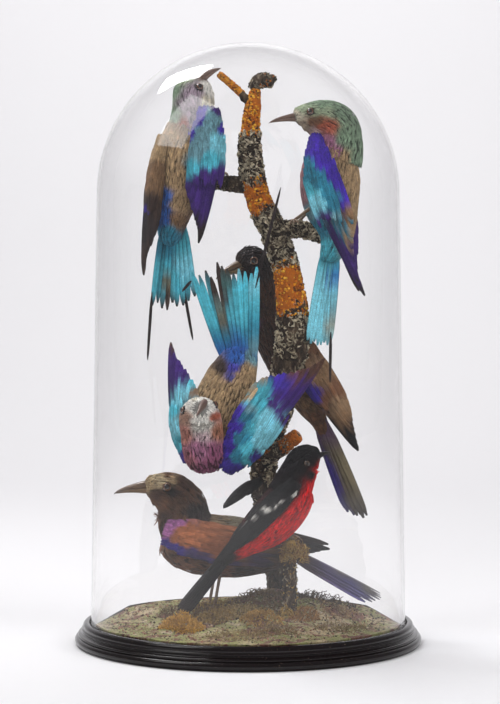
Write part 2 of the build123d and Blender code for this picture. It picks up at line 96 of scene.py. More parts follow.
# ---------------------------------------------------------------- materials
class Nodes:
    """A material and the nodes that make it."""

    def __init__(self, name):
        self.material = bpy.data.materials.new(name)
        self.material.use_nodes = True
        self.tree = self.material.node_tree
        self.shader = self.tree.nodes["Principled BSDF"]
        self.output = self.tree.nodes["Material Output"]

    def add(self, kind, inputs=(), **settings):
        node = self.tree.nodes.new(kind)
        for key, value in settings.items():
            setattr(node, key, value)
        for socket, value in dict(inputs).items():
            if isinstance(value, bpy.types.NodeSocket):
                self.tree.links.new(value, node.inputs[socket])
            else:
                node.inputs[socket].default_value = value
        return node

    def link(self, out, socket):
        self.tree.links.new(out, self.shader.inputs[socket])

    def set(self, **values):
        for socket, value in values.items():
            self.shader.inputs[socket.replace("_", " ")].default_value = value

    def place(self):
        return self.add("ShaderNodeTexCoord").outputs["Object"]

    def noise(self, scale, detail=4.0, rough=0.55, vector=None, distortion=0.0):
        node = self.add(
            "ShaderNodeTexNoise",
            {
                "Vector": vector or self.place(),
                "Scale": scale,
                "Detail": detail,
                "Roughness": rough,
                "Distortion": distortion,
            },
        )
        return node.outputs["Fac"]

    def ramp(self, fac, stops):
        node = self.add("ShaderNodeValToRGB", {"Fac": fac})
        ramp = node.color_ramp
        while len(ramp.elements) < len(stops):
            ramp.elements.new(0.5)
        for element, (at, colour) in zip(ramp.elements, stops):
            element.position = at
            element.color = (*colour, 1) if len(colour) == 3 else colour
        return node.outputs["Color"]

    def span(self, value, low, high, new_low=0.0, new_high=1.0):
        node = self.add(
            "ShaderNodeMapRange",
            {"Value": value, "From Min": low, "From Max": high, "To Min": new_low, "To Max": new_high},
        )
        return node.outputs["Result"]

    def blend(self, fac, a, b, how="MIX"):
        node = self.add("ShaderNodeMix", data_type="RGBA", blend_type=how)
        for index, value in ((0, fac), (6, a), (7, b)):
            if isinstance(value, bpy.types.NodeSocket):
                self.tree.links.new(value, node.inputs[index])
            else:
                node.inputs[index].default_value = (*value, 1) if isinstance(value, tuple) else value
        return node.outputs[2]

    def math(self, operation, a, b=0.0, c=0.0):
        node = self.add("ShaderNodeMath", operation=operation)
        for index, value in enumerate((a, b, c)):
            if isinstance(value, bpy.types.NodeSocket):
                self.tree.links.new(value, node.inputs[index])
            else:
                node.inputs[index].default_value = value
        return node.outputs[0]

    def bump(self, height, depth_mm, strength=1.0):
        node = self.add("ShaderNodeBump",
            {"Height": height, "Strength": strength, "Distance": depth_mm * MM})
        self.link(node.outputs["Normal"], "Normal")


def plumage_material():
    """Feathers: the tint they carry, with barbs and a shaft from their own UVs, painted shade along their
    edges and painted shade towards their roots, where they overlap.
    """
    m = Nodes("plumage")
    tint = m.add("ShaderNodeAttribute", attribute_name="tint").outputs["Color"]
    uv = m.add("ShaderNodeUVMap", uv_map="UVMap").outputs["UV"]
    parts = m.add("ShaderNodeSeparateXYZ", {"Vector": uv})
    across = m.math("ABSOLUTE", m.math("SUBTRACT", parts.outputs["X"], 0.5))
    slant = m.math("MULTIPLY_ADD", parts.outputs["Y"], 90.0, m.math("MULTIPLY", across, -70.0))
    barbs = m.math("SINE", slant)
    soft = m.noise(1100.0, 3.0)
    broad = m.noise(160.0, 4.0)
    fine = m.math("MULTIPLY_ADD", barbs, 0.10, m.span(soft, 0.3, 0.7, 0.66, 1.28))
    patchy = m.math("MULTIPLY", fine, m.span(broad, 0.3, 0.7, 0.80, 1.18))
    shaft = m.span(across, 0.0, 0.05, 0.62, 1.0)
    # painted shade: each feather darkens towards its edges, drawing shaded lines between neighbouring
    # feathers
    edge = m.span(across, 0.36, 0.49, 1.0, 0.42)
    # painted shade: each feather darkens towards its root, where the feather above overlaps it
    root = m.span(parts.outputs["Y"], 0.0, 0.45, 0.62, 1.0)
    shade = m.math("MULTIPLY", m.math("MULTIPLY", patchy, shaft), m.math("MULTIPLY", edge, root))
    grey = m.add("ShaderNodeCombineColor", {"Red": shade, "Green": shade, "Blue": shade}).outputs["Color"]
    m.link(m.blend(1.0, tint, grey, "MULTIPLY"), "Base Color")
    m.set(Roughness=0.66, Sheen_Weight=0.04, Sheen_Roughness=0.5, Specular_IOR_Level=0.22)
    m.bump(m.math("MULTIPLY_ADD", barbs, 0.5, soft), 0.25, 0.5)
    return m.material


def horn_material():
    m = Nodes("bill_horn")
    tint = m.add("ShaderNodeAttribute", attribute_name="tint").outputs["Color"]
    grain = m.noise(500.0, 5.0)
    m.link(m.blend(m.span(grain, 0.3, 0.8, 0.0, 0.5), tint, (0.02, 0.016, 0.012)), "Base Color")
    m.set(Roughness=0.36, Specular_IOR_Level=0.5)
    m.bump(grain, 0.08, 0.4)
    return m.material


def leg_material():
    m = Nodes("leg_scales")
    scales = m.add("ShaderNodeTexVoronoi", {"Vector": m.place(), "Scale": 900.0}).outputs["Distance"]
    m.link(m.ramp(scales, ((0.0, (0.30, 0.19, 0.10)), (0.6, (0.13, 0.08, 0.05)))), "Base Color")
    m.set(Roughness=0.55)
    m.bump(scales, 0.2, 0.6)
    return m.material


def eye_material():
    m = Nodes("eye_glass")
    tint = m.add("ShaderNodeAttribute", attribute_name="tint").outputs["Color"]
    m.link(tint, "Base Color")
    m.set(Roughness=0.05, Coat_Weight=1.0, Coat_Roughness=0.02, Specular_IOR_Level=0.6)
    return m.material


def bark_material():
    """Bark, crusted with lichen where the mesh's tint says so."""
    m = Nodes("bark")
    place = m.place()
    tall = m.add("ShaderNodeMapping", {"Vector": place, "Scale": (1.0, 1.0, 0.35)}).outputs["Vector"]
    furrow = m.noise(190.0, 8.0, 0.65, tall, 0.6)
    speck = m.noise(420.0, 5.0, 0.65)
    colour = m.ramp(
        furrow,
        ((0.32, (0.007, 0.005, 0.004)), (0.48, (0.035, 0.022, 0.014)), (0.60, (0.10, 0.068, 0.042)),
            (0.76, (0.30, 0.24, 0.17))),
    )
    tint = m.add("ShaderNodeAttribute", attribute_name="tint")
    crust = m.blend(m.span(speck, 0.35, 0.6), tint.outputs["Color"], (0.05, 0.02, 0.008))
    dabs = m.math("ADD", tint.outputs["Alpha"], m.span(furrow, 0.3, 0.7, -0.55, 0.25))
    m.link(m.blend(m.span(dabs, 0.32, 0.5), colour, m.blend(0.75, crust, tint.outputs["Color"])),
        "Base Color")
    m.set(Roughness=0.85, Specular_IOR_Level=0.2)
    m.bump(m.math("ADD", furrow, m.math("MULTIPLY", speck, 0.7)), 2.2, 1.0)
    return m.material


def crust_material():
    """Lichen and moss: tinted bit by bit, dry and grainy."""
    m = Nodes("lichen")
    tint = m.add("ShaderNodeAttribute", attribute_name="tint").outputs["Color"]
    grain = m.noise(650.0, 5.0, 0.65)
    shade = m.span(grain, 0.25, 0.75, 0.45, 1.3)
    grey = m.add("ShaderNodeCombineColor", {"Red": shade, "Green": shade, "Blue": shade}).outputs["Color"]
    m.link(m.blend(1.0, tint, grey, "MULTIPLY"), "Base Color")
    m.set(Roughness=0.9, Specular_IOR_Level=0.2)
    m.bump(grain, 0.7, 0.8)
    return m.material


def ground_material():
    """Painted groundwork: ochre and moss green in patches, with rosy brown and grey grit."""
    m = Nodes("painted_ground")
    broad = m.noise(16.0, 5.0, 0.6, distortion=0.5)
    patch = m.noise(38.0, 6.0, 0.62, distortion=0.8)
    grit = m.noise(420.0, 5.0, 0.7)
    paint = m.ramp(
        broad,
        ((0.36, (0.34, 0.27, 0.14)), (0.46, (0.30, 0.29, 0.12)), (0.54, (0.22, 0.22, 0.075)),
            (0.64, (0.42, 0.33, 0.20))),
    )
    rosy = m.blend(m.span(patch, 0.52, 0.56), paint, (0.17, 0.075, 0.055))
    pale = m.blend(m.span(patch, 0.36, 0.42, 0.85, 0.0), rosy, (0.46, 0.36, 0.27))
    dark = m.blend(m.span(grit, 0.50, 0.62, 0.0, 0.85), pale, (0.045, 0.03, 0.02))
    tint = m.add("ShaderNodeAttribute", attribute_name="tint").outputs["Color"]
    m.link(m.blend(1.0, dark, tint, "MULTIPLY"), "Base Color")
    m.set(Roughness=0.88, Specular_IOR_Level=0.2)
    m.bump(m.math("MULTIPLY_ADD", patch, 2.0, grit), 1.4, 0.8)
    return m.material


def wood_material(colours):
    """Ebonised wood under old shellac, with a faint ring grain and fine rubbed specks."""
    m = Nodes("ebonised_wood")
    place = m.place()
    long_way = m.add("ShaderNodeMapping", {"Vector": place, "Scale": (1.0, 9.0, 9.0)}).outputs["Vector"]
    grain = m.noise(30.0, 7.0, 0.6, long_way, 0.3)
    specks = m.noise(520.0, 2.0, 0.5)
    wood = m.ramp(grain, ((0.3, tuple(colours.wood)), (0.7, tuple(c * 2.0 for c in colours.wood))))
    m.link(m.blend(m.span(specks, 0.66, 0.74, 0.0, 0.5), wood, (0.12, 0.085, 0.06)), "Base Color")
    m.link(m.span(grain, 0.3, 0.7, 0.13, 0.22), "Roughness")
    m.set(Coat_Weight=0.10, Coat_Roughness=0.10, Specular_IOR_Level=0.34)
    m.bump(m.math("MULTIPLY_ADD", grain, 0.6, specks), 0.08, 0.12)
    return m.material


def felt_material(name, colour):
    m = Nodes(name)
    fibre = m.noise(1500.0, 4.0, 0.7)
    m.link(m.ramp(fibre, ((0.3, tuple(c * 0.5 for c in colour)), (0.7, tuple(c * 1.5 for c in colour)))),
        "Base Color")
    m.set(Roughness=0.95, Sheen_Weight=0.4, Sheen_Roughness=0.5)
    m.bump(fibre, 0.4, 0.7)
    return m.material


def metal_material(name, colour, rough):
    m = Nodes(name)
    scuffs = m.noise(600.0, 4.0)
    m.link(m.ramp(scuffs, ((0.3, tuple(c * 0.7 for c in colour)), (0.7, tuple(colour)))), "Base Color")
    m.set(Metallic=1.0, Roughness=rough)
    m.bump(scuffs, 0.05, 0.4)
    return m.material


def glass_material():
    """Clear blown glass that lets the lamps' light straight through."""
    m = Nodes("dome_glass")
    m.set(Base_Color=(1, 1, 1, 1), Roughness=0.0, IOR=1.45, Transmission_Weight=1.0)
    ripple = m.noise(7.0, 2.0, 0.4)
    m.bump(ripple, 0.6, 0.08)
    shadow = m.add("ShaderNodeLightPath").outputs["Is Shadow Ray"]
    clear = m.add("ShaderNodeBsdfTransparent", {"Color": (0.97, 0.975, 0.98, 1)})
    joined = m.add("ShaderNodeMixShader", {"Fac": shadow})
    m.tree.links.new(m.shader.outputs["BSDF"], joined.inputs[1])
    m.tree.links.new(clear.outputs["BSDF"], joined.inputs[2])
    m.tree.links.new(joined.outputs["Shader"], m.output.inputs["Surface"])
    return m.material


def paper_material(name, colour):
    m = Nodes(name)
    tooth = m.noise(60.0, 3.0)
    m.link(m.ramp(tooth, ((0.3, tuple(c * 0.995 for c in colour)), (0.7, tuple(colour)))), "Base Color")
    m.set(Roughness=0.75, Specular_IOR_Level=0.2)
    return m.material


MADE = {}


def material(name):
    """The named finish, made once."""
    colours = bpy.context.scene.bell_jar_colours
    makers = {
        "plumage": plumage_material,
        "horn": horn_material,
        "legs": leg_material,
        "eyes": eye_material,
        "bark": bark_material,
        "crust": crust_material,
        "ground": ground_material,
        "wood": lambda: wood_material(colours),
        "green_felt": lambda: felt_material("green_felt", (0.02, 0.05, 0.03)),
        "dark_felt": lambda: felt_material("dark_felt", (0.03, 0.025, 0.02)),
        "brass": lambda: metal_material("screw_brass", (0.6, 0.42, 0.18), 0.4),
        "wire": lambda: metal_material("iron_wire", (0.22, 0.21, 0.2), 0.5),
        "glass": glass_material,
        "floor": lambda: paper_material("studio_paper", tuple(colours.paper)),
    }
    if name not in MADE:
        MADE[name] = makers[name]()
    return MADE[name]


# ---------------------------------------------------------------- making pieces
def new_mesh():
    """An empty bmesh that carries a tint on its vertices."""
    bm = bmesh.new()
    bm.verts.layers.float_color.new("tint")
    bm.loops.layers.uv.new("UVMap")
    return bm


def append(bm, own):
    """Copies a finished bmesh into another and returns its new vertices."""
    mesh = bpy.data.meshes.new("part_of_piece")
    own.to_mesh(mesh)
    own.free()
    start = len(bm.verts)
    bm.from_mesh(mesh)
    bpy.data.meshes.remove(mesh)
    bm.verts.ensure_lookup_table()
    return bm.verts[start:]


def finish_piece(name, bm, finish, nodes, body=BASE):
    """Makes the object from a bmesh in millimetres and ties it to the frame."""
    bmesh.ops.scale(bm, vec=(MM, MM, MM), verts=bm.verts)
    mesh = bpy.data.meshes.new(name)
    bm.to_mesh(mesh)
    bm.free()
    mesh.materials.append(material(finish))
    mesh.polygons.foreach_set("use_smooth", [True] * len(mesh.polygons))
    piece = bpy.data.objects.new(name, mesh)
    bpy.context.scene.collection.objects.link(piece)
    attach(piece, body)
    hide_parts(*nodes)


def lathe(bm, profile, steps):
    """Spins a closed (radius, height) profile about Z."""
    ring = [bm.verts.new((r, 0, z)) for r, z in profile]
    edges = [bm.edges.new((a, b)) for a, b in zip(ring, ring[1:])]
    bmesh.ops.spin(
        bm,
        geom=ring + edges,
        axis=(0, 0, 1),
        cent=(0, 0, 0),
        angle=math.tau,
        steps=steps,
        use_merge=True,
        use_duplicate=False,
    )
    bmesh.ops.remove_doubles(bm, verts=bm.verts, dist=0.01)
    bmesh.ops.recalc_face_normals(bm, faces=bm.faces)


def arc(centre, radius, start, end, steps):
    """Points of an arc of a profile, angles in degrees."""
    points = []
    for i in range(steps + 1):
        a = math.radians(start + (end - start) * i / steps)
        points.append((centre[0] + radius * math.cos(a), centre[1] + radius * math.sin(a)))
    return points


class Skin:
    """A closed body on rings along a bent path.

    A ring is (x, y, z, side, back, breast, direction of the back), in millimetres.
    """

    def __init__(self, rings):
        self.places = [Vector(r[:3]) for r in rings]
        self.sides = [r[3] for r in rings]
        self.backs = [r[4] for r in rings]
        self.breasts = [r[5] for r in rings]
        self.up = [unit(r[6]) for r in rings]
        self.length = sum((b - a).length for a, b in zip(self.places, self.places[1:]))

    def axis(self, t):
        """(centre, way along, sideways, backwards) at t."""
        step = 0.02
        centre = smooth_run(self.places, t)
        ahead = smooth_run(self.places, min(t + step, 1)) - smooth_run(self.places, max(t - step, 0))
        ahead.normalize()
        side = ahead.cross(smooth_run(self.up, t)).normalized()
        return centre, ahead, side, side.cross(ahead).normalized()

    def at(self, t, angle):
        """Point of the surface; angle 0 is the middle of the back, 180 degrees the breast."""
        centre, ahead, side, up = self.axis(t)
        end = min(1.0, min(t, 1 - t) / 0.1)
        swell = math.sqrt(max(0.0, 1 - (1 - end) ** 2))
        deep = smooth_run(self.backs if math.cos(angle) > 0 else self.breasts, t)
        wide = smooth_run(self.sides, t)
        return centre + (side * wide * math.sin(angle) + up * deep * math.cos(angle)) * swell

    def frame(self, t, angle):
        """(place, way towards the tail, outward normal) on the surface."""
        t = min(max(t, 0.02), 0.97)
        place = self.at(t, angle)
        ahead = self.at(t + 0.015, angle) - self.at(t - 0.015, angle)
        around = self.at(t, angle + 0.05) - self.at(t, angle - 0.05)
        normal = around.cross(ahead).normalized()
        if normal.dot(place - self.axis(t)[0]) < 0:
            normal.negate()
        return place, ahead.normalized(), normal

    def fill(self, bm, tint, rings=30, around=28, shrink=0.0):
        """Adds the body to a bmesh, tinted by tint(t, angle)."""
        own = new_mesh()
        bmesh.ops.create_uvsphere(own, u_segments=around, v_segments=rings, radius=1)
        layer = own.verts.layers.float_color["tint"]
        for v in own.verts:
            x, y, z = v.co
            t = math.acos(max(-1.0, min(1.0, z))) / math.pi
            angle = math.atan2(x, y)
            centre = self.axis(t)[0]
            v.co = centre + (self.at(t, angle) - centre) * (1 - shrink)
            v[layer] = (*tint(t, angle), 1)[:4]
        bmesh.ops.recalc_face_normals(own, faces=own.faces)
        return append(bm, own)


def tube(bm, path, radii, tint, around=12, rings=16):
    """A closed round limb of varying radius through points."""
    up = (0.02, -1, 0.05)
    rings_of = [(*p, r, r, r, up) for p, r in zip(path, radii)]
    return Skin(rings_of).fill(bm, lambda t, a: tint, rings, around)


# ---------------------------------------------------------------- feathers
def small_feather():
    """A short pointed feather, one long and one wide, lying on its back."""
    bm = bmesh.new()
    bmesh.ops.create_uvsphere(bm, u_segments=4, v_segments=4, radius=0.5)
    bmesh.ops.rotate(bm, verts=bm.verts, cent=(0, 0, 0), matrix=Matrix.Rotation(-math.pi / 2, 3, "X"))
    bmesh.ops.translate(bm, verts=bm.verts, vec=(0, 0.5, 0))
    return bm


def blade_feather(taper):
    """A flight feather: a cambered blade with a rounded tip, one long and one wide."""
    bm = bmesh.new()
    bmesh.ops.create_grid(bm, x_segments=4, y_segments=12, size=0.5)
    for v in bm.verts:
        y = v.co.y + 0.5
        width = 0.30 + 0.70 * min(1.0, y / 0.25) ** 0.8
        width *= 1 - taper * max(0.0, (y - 0.5) / 0.5) ** 1.5
        if y > 0.86:
            width *= math.sqrt(max(0.0, 1 - ((y - 0.86) / 0.15) ** 2))
        v.co.x *= width
        v.co.z = 0.35 * (0.25 - v.co.x**2) - 0.05
        v.co.y = y
    bmesh.ops.solidify(bm, geom=bm.faces[:], thickness=0.10)
    bmesh.ops.recalc_face_normals(bm, faces=bm.faces)
    return bm


def as_template(bm, name):
    """A feather mesh with its barbs' UVs, ready to be laid many times."""
    layer = bm.loops.layers.uv.new("UVMap")
    bm.verts.layers.float_color.new("tint")
    for face in bm.faces:
        for loop in face.loops:
            loop[layer].uv = (loop.vert.co.x + 0.5, loop.vert.co.y)
    mesh = bpy.data.meshes.new(name)
    bm.to_mesh(mesh)
    bm.free()
    return mesh


def lay(bm, template, base, ahead, normal, size, stops, bend=0.0, lift=0.0, sweep=0.0):
    """Lays one feather: size is (length, width, thickness); stops colour it from root to tip."""
    length, width, thick = size
    side = ahead.cross(normal).normalized()
    out = side.cross(ahead).normalized()
    start = len(bm.verts)
    bm.from_mesh(template)
    bm.verts.ensure_lookup_table()
    layer = bm.verts.layers.float_color["tint"]
    for v in bm.verts[start:]:
        x, y, z = v.co
        rise = z * thick + lift * y * length - bend * length * y * y
        v.co = base + ahead * (y * length) + side * (x * width + sweep * length * y * y) + out * rise
        v[layer] = (*along_stops(stops, y), 1)


def painted(paint, rng, root, tip, amount):
    """Colour stops of one feather, taken where it lies."""
    k = 1 + rng.gauss(0, amount)
    stops = []
    for share in (0.0, 0.18, 0.36, 0.52, 0.68, 0.84, 1.0):
        colour = paint(root.lerp(tip, share))
        stops.append((share, tuple(max(0.0, c * k) for c in colour)))
    return stops


def clothe(bm, skin, template, paint, rng, t_range, spacing, size, lift, wild, streak, skip=()):
    """Covers a skin with small feathers in rows, from the tail end up.

    size(t) gives (length, width); skip is ((place, radius), ...).
    """
    t = t_range[1]
    while t > t_range[0]:
        long, wide = size(t)
        girth = math.pi * (smooth_run(skin.sides, t) + smooth_run(skin.backs, t))
        count = max(8, int(girth / (wide * spacing[1])))
        for i in range(count):
            angle = math.tau * (i + rng.random()) / count - math.pi
            here = t + rng.uniform(-0.5, 0.5) * long * spacing[0] / skin.length
            place, ahead, normal = skin.frame(here, angle)
            if any((place - Vector(p)).length < r for p, r in skip):
                continue
            ahead = (ahead + ahead.cross(normal) * rng.gauss(0, wild)).normalized()
            k = rng.uniform(0.75, 1.3)
            root = place - normal * 0.5 - ahead * long * 0.3
            rise = lift + rng.uniform(0, 0.09)
            stops = painted(paint, rng, root, root + ahead * long * k, streak)
            lay(bm, template, root, ahead, normal, (long * k, wide * k, 0.9), stops, bend=0.16, lift=rise)
        t -= long * spacing[0] / skin.length


WING_CAMBER = 5.0
FLIGHT_FEATHERS = 20
SHORTEST_FLIGHT = 0.6
COVERTS_FROM = 0.40
SCAPULARS_FROM = 0.14


class Wing:
    """A wing's curved sheet: centre line, half widths and the way it faces."""

    def __init__(self, points, widths, out):
        self.points = [Vector(p) for p in points]
        self.widths = widths
        self.out = unit(out)
        self.length = sum((b - a).length for a, b in zip(self.points, self.points[1:]))

    def frame(self, u):
        step = 0.02
        ahead = smooth_run(self.points, min(u + step, 1)) - smooth_run(self.points, max(u - step, 0))
        ahead.normalize()
        across = ahead.cross(self.out).normalized()
        return smooth_run(self.points, u), ahead, across, across.cross(ahead).normalized()

    def at(self, u, v, rise=0.0):
        centre, ahead, across, out = self.frame(u)
        wide = smooth_run(self.widths, u)
        return centre + across * (v * wide) + out * (rise + WING_CAMBER * (1 - v * v))


def dress_wing(bm, wing, paint, rng, small, blade, lead, wide):
    """Lays a wing's feathers: flight feathers first, then its coverts in overlapping rows.

    lead is 1 or -1, the side of the sheet that leads; wide is a flight feather's width.
    """
    rings = []
    for u in (0.0, 0.1, 0.2, 0.31, 0.42):
        centre, ahead, across, out = wing.frame(u)
        half = smooth_run(wing.widths, u) * 0.88
        rings.append((*(centre - out * 1.5), half, WING_CAMBER * 0.8, 2.5, out))
    pad = Skin(rings)
    pad.fill(bm, lambda t, a: paint(pad.at(t, a)), 14, 20)
    centre, ahead, across, out = wing.frame(0.5)
    for i in range(FLIGHT_FEATHERS):
        s = i / (FLIGHT_FEATHERS - 1)
        base_v = lead * (-0.92 + 1.62 * s)
        tip_v = lead * (-0.95 + 1.7 * s**1.2)
        tip_u = SHORTEST_FLIGHT + (1.0 - SHORTEST_FLIGHT) * s**0.8 + rng.uniform(-0.02, 0.02)
        rise = 1.8 - 4.0 * s
        base = wing.at(0.22 + 0.16 * s, base_v * 0.9, rise)
        tip = wing.at(tip_u, tip_v, rise * 0.6)
        run = tip - base
        stops = painted(paint, rng, base, tip, 0.14)
        girth = wide * (0.85 + 0.3 * (1 - s))
        lay(bm, blade, base, run.normalized(), out - across * (0.3 * lead), (run.length, girth, 3.0), stops,
            bend=0.03, sweep=-0.04 * lead)
    u = COVERTS_FROM
    while u > 0.0:
        half = smooth_run(wing.widths, u)
        if u > SCAPULARS_FROM:
            long, girth, kind, thick = wing.length * (0.08 + 0.35 * u), 4.8, blade, 1.7
        else:
            long, girth, kind, thick = 9.5, 3.2, small, 1.1
        count = max(4, int(2 * half / (girth * 0.42)))
        for i in range(count):
            v = -0.98 + 1.96 * (i + rng.random()) / count
            here = u + rng.uniform(-0.015, 0.015)
            centre, ahead, across, out = wing.frame(here)
            normal = (out + across * v * 0.5).normalized()
            aim = (ahead + across * (-0.12 * v + rng.gauss(0, 0.05))).normalized()
            reach = long * rng.uniform(0.85, 1.15)
            root = wing.at(here, v, 1.2) - ahead * long * 0.25
            stops = painted(paint, rng, root, root + aim * reach, 0.16)
            lay(bm, kind, root, aim, normal, (reach, girth, thick), stops, bend=0.12, lift=0.07)
        u -= 0.04 if u > SCAPULARS_FROM else 0.022


def dress_tail(bm, base, spread, tips, paint, rng, blade, width, normal):
    """Lays the tail feathers from a base of a given spread out to their tips."""
    count = len(tips)
    aside = (Vector(tips[-1]) - Vector(tips[0])).normalized()
    for i, tip in enumerate(tips):
        place = i / (count - 1) - 0.5
        start = Vector(base) + unit(normal) * (1.5 - 4.0 * abs(place)) + aside * place * spread
        tip = Vector(tip)
        ahead = tip - start
        stops = painted(paint, rng, start, tip, 0.10)
        turn = (unit(normal) + aside * place * 0.5).normalized()
        lay(bm, blade, start, ahead.normalized(), turn, (ahead.length, width * rng.uniform(0.9, 1.1), 2.2),
            stops, bend=0.02)


def streamer(bm, a, b, blade, colour):
    """A long thin outer tail feather."""
    ahead = Vector(b) - Vector(a)
    lay(bm, blade, Vector(a), ahead.normalized(), Vector((0.1, -1, 0)), (ahead.length, 3.3, 2.2),
        [(0, colour)], bend=-0.02)


BILL_HOOK = 0.06


def make_bill(bm, base, tip, up, size, colours):
    """Upper and lower mandibles, meeting along a dark line."""
    base, tip = Vector(base), Vector(tip)
    run = tip - base
    up = (unit(up) - run.normalized() * unit(up).dot(run.normalized())).normalized()
    length = run.length
    for half, lift in (("upper", 1), ("lower", -1)):
        rings = []
        reach = 1.0 if half == "upper" else 0.93
        for s, w in ((-0.28, 1.0), (0.0, 0.95), (0.3, 0.72), (0.6, 0.5), (0.85, 0.27), (1.0, 0.08)):
            curve = BILL_HOOK * length * (s * (1 - s) * 1.6 - (0.9 * s**6
                if half == "upper" else 0.5 * s**6))
            centre = base + run * s * reach + up * (curve + lift * size * 0.05 * w)
            deep = size * (0.5 if half == "upper" else 0.36) * w
            flat = size * 0.06 * w
            back, breast = (deep, flat) if half == "upper" else (flat, deep)
            rings.append((*centre, size * 0.40 * w, back, breast, up))
        shade = colours[0] if half == "upper" else colours[1]
        Skin(rings).fill(bm, lambda t, a: mix(shade, colours[2], max(0.0, t - 0.5)), 20, 14)


def make_eye(bm, place, outward, radius, iris):
    """A glass eye: black pupil, coloured iris and a dark rim."""
    made = bmesh.ops.create_uvsphere(bm, u_segments=20, v_segments=14, radius=radius)["verts"]
    layer = bm.verts.layers.float_color["tint"]
    turn = Vector((0, 0, 1)).rotation_difference(Vector(outward))
    for v in made:
        facing = v.co.z / radius
        shade = (0.004, 0.003, 0.003)
        if 0.55 < facing < 0.82:
            shade = iris
        v[layer] = (*shade, 1)
        v.co = turn @ v.co + Vector(place)


CLAW_DARK = (0.02, 0.015, 0.012)
LEG_HORN = (0.30, 0.19, 0.10)


def make_leg(bm, hip, foot, toes):
    """Shank, knuckles and toes with claws."""
    hip, foot = Vector(hip), Vector(foot)
    tube(bm, [hip, hip.lerp(foot, 0.5), foot], [2.3, 1.7, 1.9], LEG_HORN, 8, 8)
    for toe in toes:
        toe = Vector(toe)
        knee = foot.lerp(toe, 0.45) + Vector((0, 0, 1.2))
        tube(bm, [foot, knee, toe], [1.7, 1.5, 1.2], LEG_HORN, 8, 8)
        claw = toe + (toe - foot).normalized() * 3 - Vector((0, 0, 1.5))
        tube(bm, [toe, toe.lerp(claw, 0.5), claw], [1.0, 0.7, 0.2], CLAW_DARK, 6, 6)


# ---------------------------------------------------------------- what the birds are like
def hue(red, green, blue):
    """A linear colour from the usual 0 to 255 values."""
    return tuple(((c / 255 + 0.055) / 1.055) ** 2.4 if c > 10 else c / 255 / 12.92 for c in (red, green,
        blue))


BLACK = hue(20, 17, 20)
SOOT = hue(44, 34, 34)
DARK = hue(62, 46, 40)
TAN = hue(176, 146, 108)
TAN_DEEP = hue(136, 104, 74)
TURQUOISE = hue(80, 186, 206)
BRIGHT = hue(134, 216, 234)
TEAL = hue(44, 132, 160)
GREY_TEAL = hue(112, 158, 170)
BLUE = hue(48, 104, 190)
VIOLET = hue(72, 42, 178)
INDIGO = hue(62, 44, 150)
PURPLE = hue(66, 36, 118)
SAGE = hue(132, 156, 128)
SAGE_PALE = hue(166, 180, 148)
CREAM = hue(222, 212, 190)
WHITE = hue(240, 236, 228)
LILAC = hue(186, 122, 156)
LILAC_DEEP = hue(158, 88, 124)
LILAC_GREY = hue(170, 150, 164)
RUST = hue(182, 92, 66)
CINNAMON = hue(172, 102, 62)
BROWN = hue(116, 78, 54)
BROWN_DARK = hue(76, 50, 38)
OLIVE = hue(112, 102, 78)
PINK = hue(178, 108, 168)
CRIMSON = hue(236, 18, 24)


class Paint:
    """Colours laid on as dabs (x, z, reach, colour); the nearest tells most, with a ragged edge."""

    def __init__(self, dabs, sharp, wander=2.5):
        self.dabs = dabs
        self.sharp = sharp
        self.wander = wander

    def __call__(self, place):
        shift = noise.noise_vector(place * 0.15) * self.wander
        x, z = place.x + shift.x, place.z + shift.z
        total = 0.0
        colour = [0.0, 0.0, 0.0]
        for dab_x, dab_z, reach, hue_there in self.dabs:
            weight = (reach * reach / ((x - dab_x) ** 2 + (z - dab_z) ** 2 + 1.0)) ** self.sharp
            total += weight
            for k in range(3):
                colour[k] += hue_there[k] * weight
        return tuple(c / total for c in colour)


def fan(left, right, count, sag, rough=4.0):
    """Tips of a tail fan from left to right, bulging at the middle and uneven."""
    tips = []
    for i in range(count):
        s = i / (count - 1)
        tip = Vector(left).lerp(Vector(right), s) + Vector(sag) * (4 * s * (1 - s))
        tips.append(tip + unit(sag) * rough * math.sin(i * 2.3))
    return tips


LILAC_ROLLER = dict(
    bill=(hue(112, 86, 74), hue(132, 106, 92), hue(88, 68, 60)), bill_size=11.0,
    iris=hue(92, 52, 28), eye=4.4, tail_width=8.5,
)
RUFOUS_ROLLER = dict(
    bill=(hue(104, 78, 54), hue(138, 108, 76), hue(96, 74, 54)), bill_size=16.0,
    iris=hue(96, 58, 32), eye=5.6, tail_width=10,
)
SHRIKE = dict(
    bill=(hue(28, 26, 28), hue(32, 30, 32), hue(60, 56, 54)), bill_size=7.5,
    iris=hue(70, 50, 36), eye=3.6, tail_width=7,
)

BACK_A = (-0.4, -0.92, 0.0)
BACK_B = (0.95, -0.28, 0.1)
BACK_C = (0.05, -0.99, -0.1)
BACK_D = (0.9, 0.0, 0.42)
BACK_E = (0.1, -0.05, 0.99)
BACK_F = (-0.62, -0.55, 0.56)

